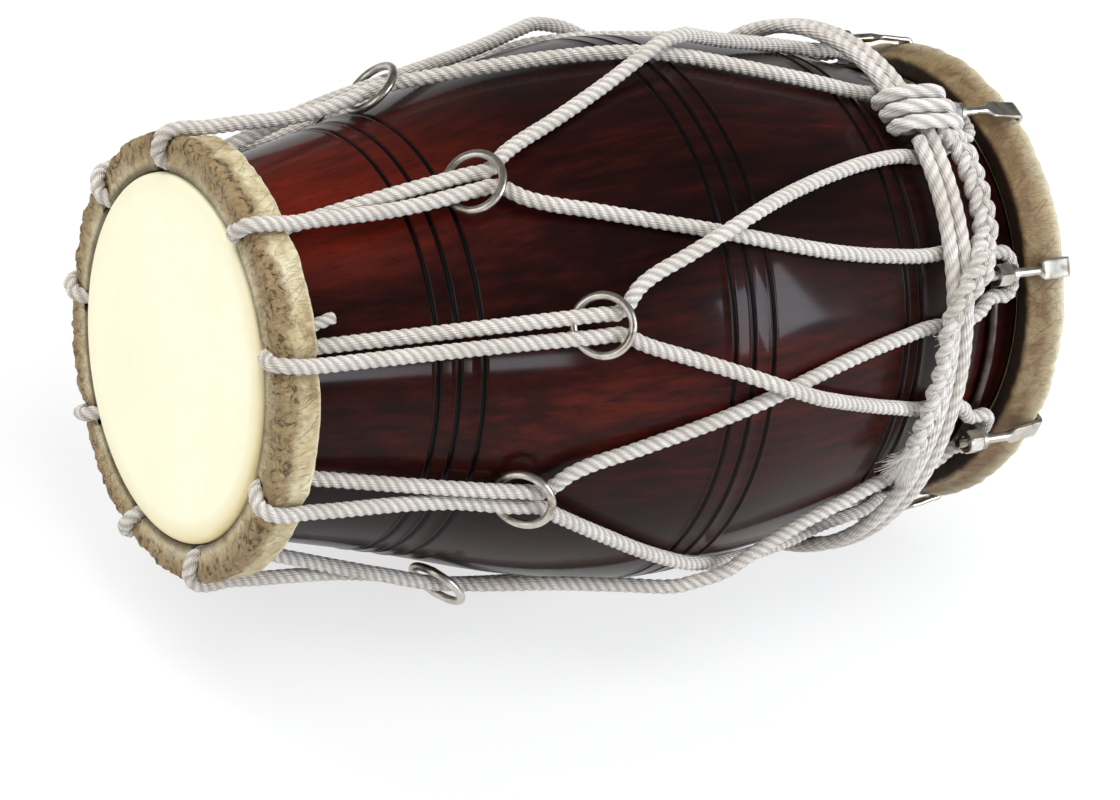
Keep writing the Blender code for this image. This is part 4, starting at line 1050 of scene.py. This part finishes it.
def braid_strands(line):
    """Three strands over and under each other along the line: across by sine, up and down at twice the pace."""
    run = np.r_[0.0, np.cumsum([(b - a).length for a, b in zip(line[:-1], line[1:])])]
    strand_lines = []
    for phase in (0.0, 2 * math.pi / 3, 4 * math.pi / 3):
        points = []
        for i, p in enumerate(line):
            tangent = (line[min(i + 1, len(line) - 1)] - line[max(i - 1, 0)]).normalized()
            foot = lie @ Vector(((inside @ p).x, 0.0, 0.0))
            outwards = (p - foot).normalized()
            outwards = (outwards - tangent * outwards.dot(tangent)).normalized()
            t = 2 * math.pi * run[i] / 0.030 + phase
            width = 0.0044 - 0.0020 * part_of(run[i] / run[-1], 0.50, 0.62)
            points.append(p + tangent.cross(outwards) * width * math.sin(t) + outwards * 0.0020 * math.sin(2 * t))
        strand_lines.append(points)
    return strand_lines, float(run[-1])


def hair_tree():
    """Thin bent hairs from about one point, spread in a cone along z, each with its own length."""
    nodes, given = new_tree(
        "loose_hairs", (("Length", 0.012), ("Thickness", 0.00014), ("Spread", 0.4), ("Root", 0.002)),
        (("Count", 30), ("Seed", 1)))
    _, reach, thick, spread, root, count, seed, cotton = given

    def scattered(low, high, add):
        return nodes.node("FunctionNodeRandomValue", {"data_type": "FLOAT_VECTOR"}, {0: low, 1: high, 8: seed + add})

    roots = scattered(nodes.joined(root * -1.0, root * -1.0, root * -0.5), nodes.joined(root, root, root * 0.5), 0.0)
    points = nodes.node("GeometryNodePoints", None, {"Count": count, "Position": roots})
    bent = nodes.node("GeometryNodeCurveQuadraticBezier", None, {
        "Resolution": 6, "Start": (0.0, 0.0, 0.0), "Middle": nodes.joined(0.0, 0.0, reach * 0.55),
        "End": nodes.joined(reach * 0.32, 0.0, reach)})
    circle = nodes.node("GeometryNodeCurvePrimitiveCircle", None, {"Resolution": 4, "Radius": thick})
    hair = nodes.node("GeometryNodeCurveToMesh", None, {"Curve": bent, "Profile Curve": circle, "Fill Caps": True})
    lean = scattered(nodes.joined(spread * -1.0, spread * -1.0, 0.0), nodes.joined(spread, spread, 6.283), 1.0)
    turned_by = nodes.node("FunctionNodeEulerToRotation", None, {0: lean})
    sizes = scattered((0.45, 0.45, 0.45), (1.0, 1.0, 1.0), 2.0)
    hairs = nodes.node("GeometryNodeInstanceOnPoints", None, {
        "Points": points, "Instance": hair, "Rotation": turned_by, "Scale": sizes})
    return ended(nodes, hairs, cotton)


loose_hairs = hair_tree()


def hairs_at(place, way, **sizes):
    """Hairs that stand off at a place in a direction."""
    carrier = bpy.data.objects.new("hairs", bpy.data.meshes.new("hairs"))
    bpy.context.scene.collection.objects.link(carrier)
    mesh = shaped("hairs", carrier, loose_hairs, Cotton=worn_cotton.material, **sizes)
    mesh.transform(Matrix.Translation(place) @ way.to_track_quat("Z", "Y").to_matrix().to_4x4())
    return mesh


middle = braid_line()
strand_lines, braid_length = braid_strands(middle)
pieces = [
    shaped(f"strand_{i}", curve_object("strand", points, "POLY"), laid_rope, Cotton=worn_cotton.material,
           Radius=braid_strand, Lay_length=0.014, Step=0.0006, Sides=15, Groove_depth=0.10)
    for i, points in enumerate(strand_lines)
]
braid = merged("belt_tail_braid_plaited", pieces, 180.0)
braid_piece = fit("belt_tail_braid_plaited", braid, worn_cotton, "cotton_rope", "drum", "belt_tail_braid")
end_way = (middle[-1] - middle[-8]).normalized()
sideways = lie.to_3x3() @ Vector((-1.0, 0.0, 0.0))
tufts = [
    hairs_at(points[-1] - end_way * 0.004, end_way + sideways * 0.25, Count=110, Length=0.021, Spread=0.24,
             Seed=i + 3, Root=0.0026)
    for i, points in enumerate(strand_lines)
]
for share, seed in ((0.52, 11), (0.70, 12), (0.80, 13), (0.88, 14), (0.94, 15)):
    at = int(share * (len(middle) - 1))
    tufts.append(hairs_at(middle[at] + sideways * 0.002, sideways + end_way * 0.9, Count=7, Length=0.006,
                          Spread=1.0, Seed=seed, Root=0.004))
fray = fit("belt_tail_fray", merged("belt_tail_fray", tufts, 180.0), worn_cotton, "cotton_rope", "drum")


# Floor, lamps and surroundings. A plain pale table, soft lamps all round, and a white sweep behind it.
floor_finish = Finish("pale_floor", Roughness=0.9, Specular_IOR_Level=0.1)
floor_finish.shader.inputs["Base Color"].default_value = (0.90, 0.90, 0.90, 1.0)
rays = floor_finish.node("ShaderNodeLightPath")
seen = rays.maths("MAXIMUM", Value(floor_finish, rays.socket.node.outputs["Is Glossy Ray"]))
plain = floor_finish.node("ShaderNodeEmission", None, {"Color": (1.0, 1.0, 1.0, 1.0)})
surface = Value(floor_finish, floor_finish.shader.outputs[0])
mixed = floor_finish.node("ShaderNodeMixShader", None, {0: seen * 0.70, 1: surface, 2: plain})
floor_finish.tree.links.new(mixed.socket, floor_finish.tree.nodes["Material Output"].inputs[0])
floor_mesh = bpy.data.meshes.new("floor")
floor_mesh.from_pydata([(-9, -9, 0), (9, -9, 0), (9, 9, 0), (-9, 9, 0)], [], [(0, 1, 2, 3)])
floor_mesh.materials.append(floor_finish.material)
floor = bpy.data.objects.new("floor", floor_mesh)
bpy.context.scene.collection.objects.link(floor)


def lamp(name, place, power, wide, tall, colour=(1.0, 1.0, 1.0)):
    light = bpy.data.lights.new(name, "AREA")
    light.energy, light.color = power, colour
    light.shape, light.size, light.size_y = "RECTANGLE", wide, tall
    made = bpy.data.objects.new(name, light)
    bpy.context.scene.collection.objects.link(made)
    made.location = place
    made.rotation_mode = "QUATERNION"
    made.rotation_quaternion = (Vector((0.0, 0.0, 0.14)) - Vector(place)).to_track_quat("-Z", "Y")
    return made


lamp("treble_side_lamp", (-2.3, -0.7, 1.3), 15.0, 1.5, 1.5)
lamp("high_back_lamp", (-1.1, 1.3, 2.2), 38.0, 1.6, 1.6).visible_glossy = False
lamp("overhead_lamp", (-0.2, -0.8, 2.6), 30.0, 1.2, 1.2).visible_glossy = False
lamp("bass_side_lamp", (0.92, -1.14, 0.80), 17.0, 0.72, 0.60, (0.84, 0.90, 1.0))
lamp("front_lamp", (-0.10, -1.62, 0.75), 1.3, 0.16, 0.16, (0.88, 0.92, 1.0))

world = bpy.data.worlds.new("studio")
bpy.context.scene.world = world
world.use_nodes = True
air = Nodes(world.node_tree)
camera_ray = air.node("ShaderNodeLightPath")
glossy_ray, clear_ray = [Value(air, camera_ray.socket.node.outputs[s]) for s in ("Is Glossy Ray", "Is Transmission Ray")]
_, _, height = air.split(air.node("ShaderNodeTexCoord"))
sweep = air.node("ShaderNodeMapRange", None, {0: height, 1: 0.01, 2: 0.20, 3: 1.0, 4: 0.20})
mirrored = glossy_ray.maths("MAXIMUM", clear_ray)
strength = camera_ray + (1.0 - camera_ray) * (mirrored * sweep + (1.0 - mirrored) * 0.40)
background = world.node_tree.nodes["Background"]
world.node_tree.links.new(strength.socket, background.inputs["Strength"])
background.inputs["Color"].default_value = (1.0, 1.0, 1.0, 1.0)
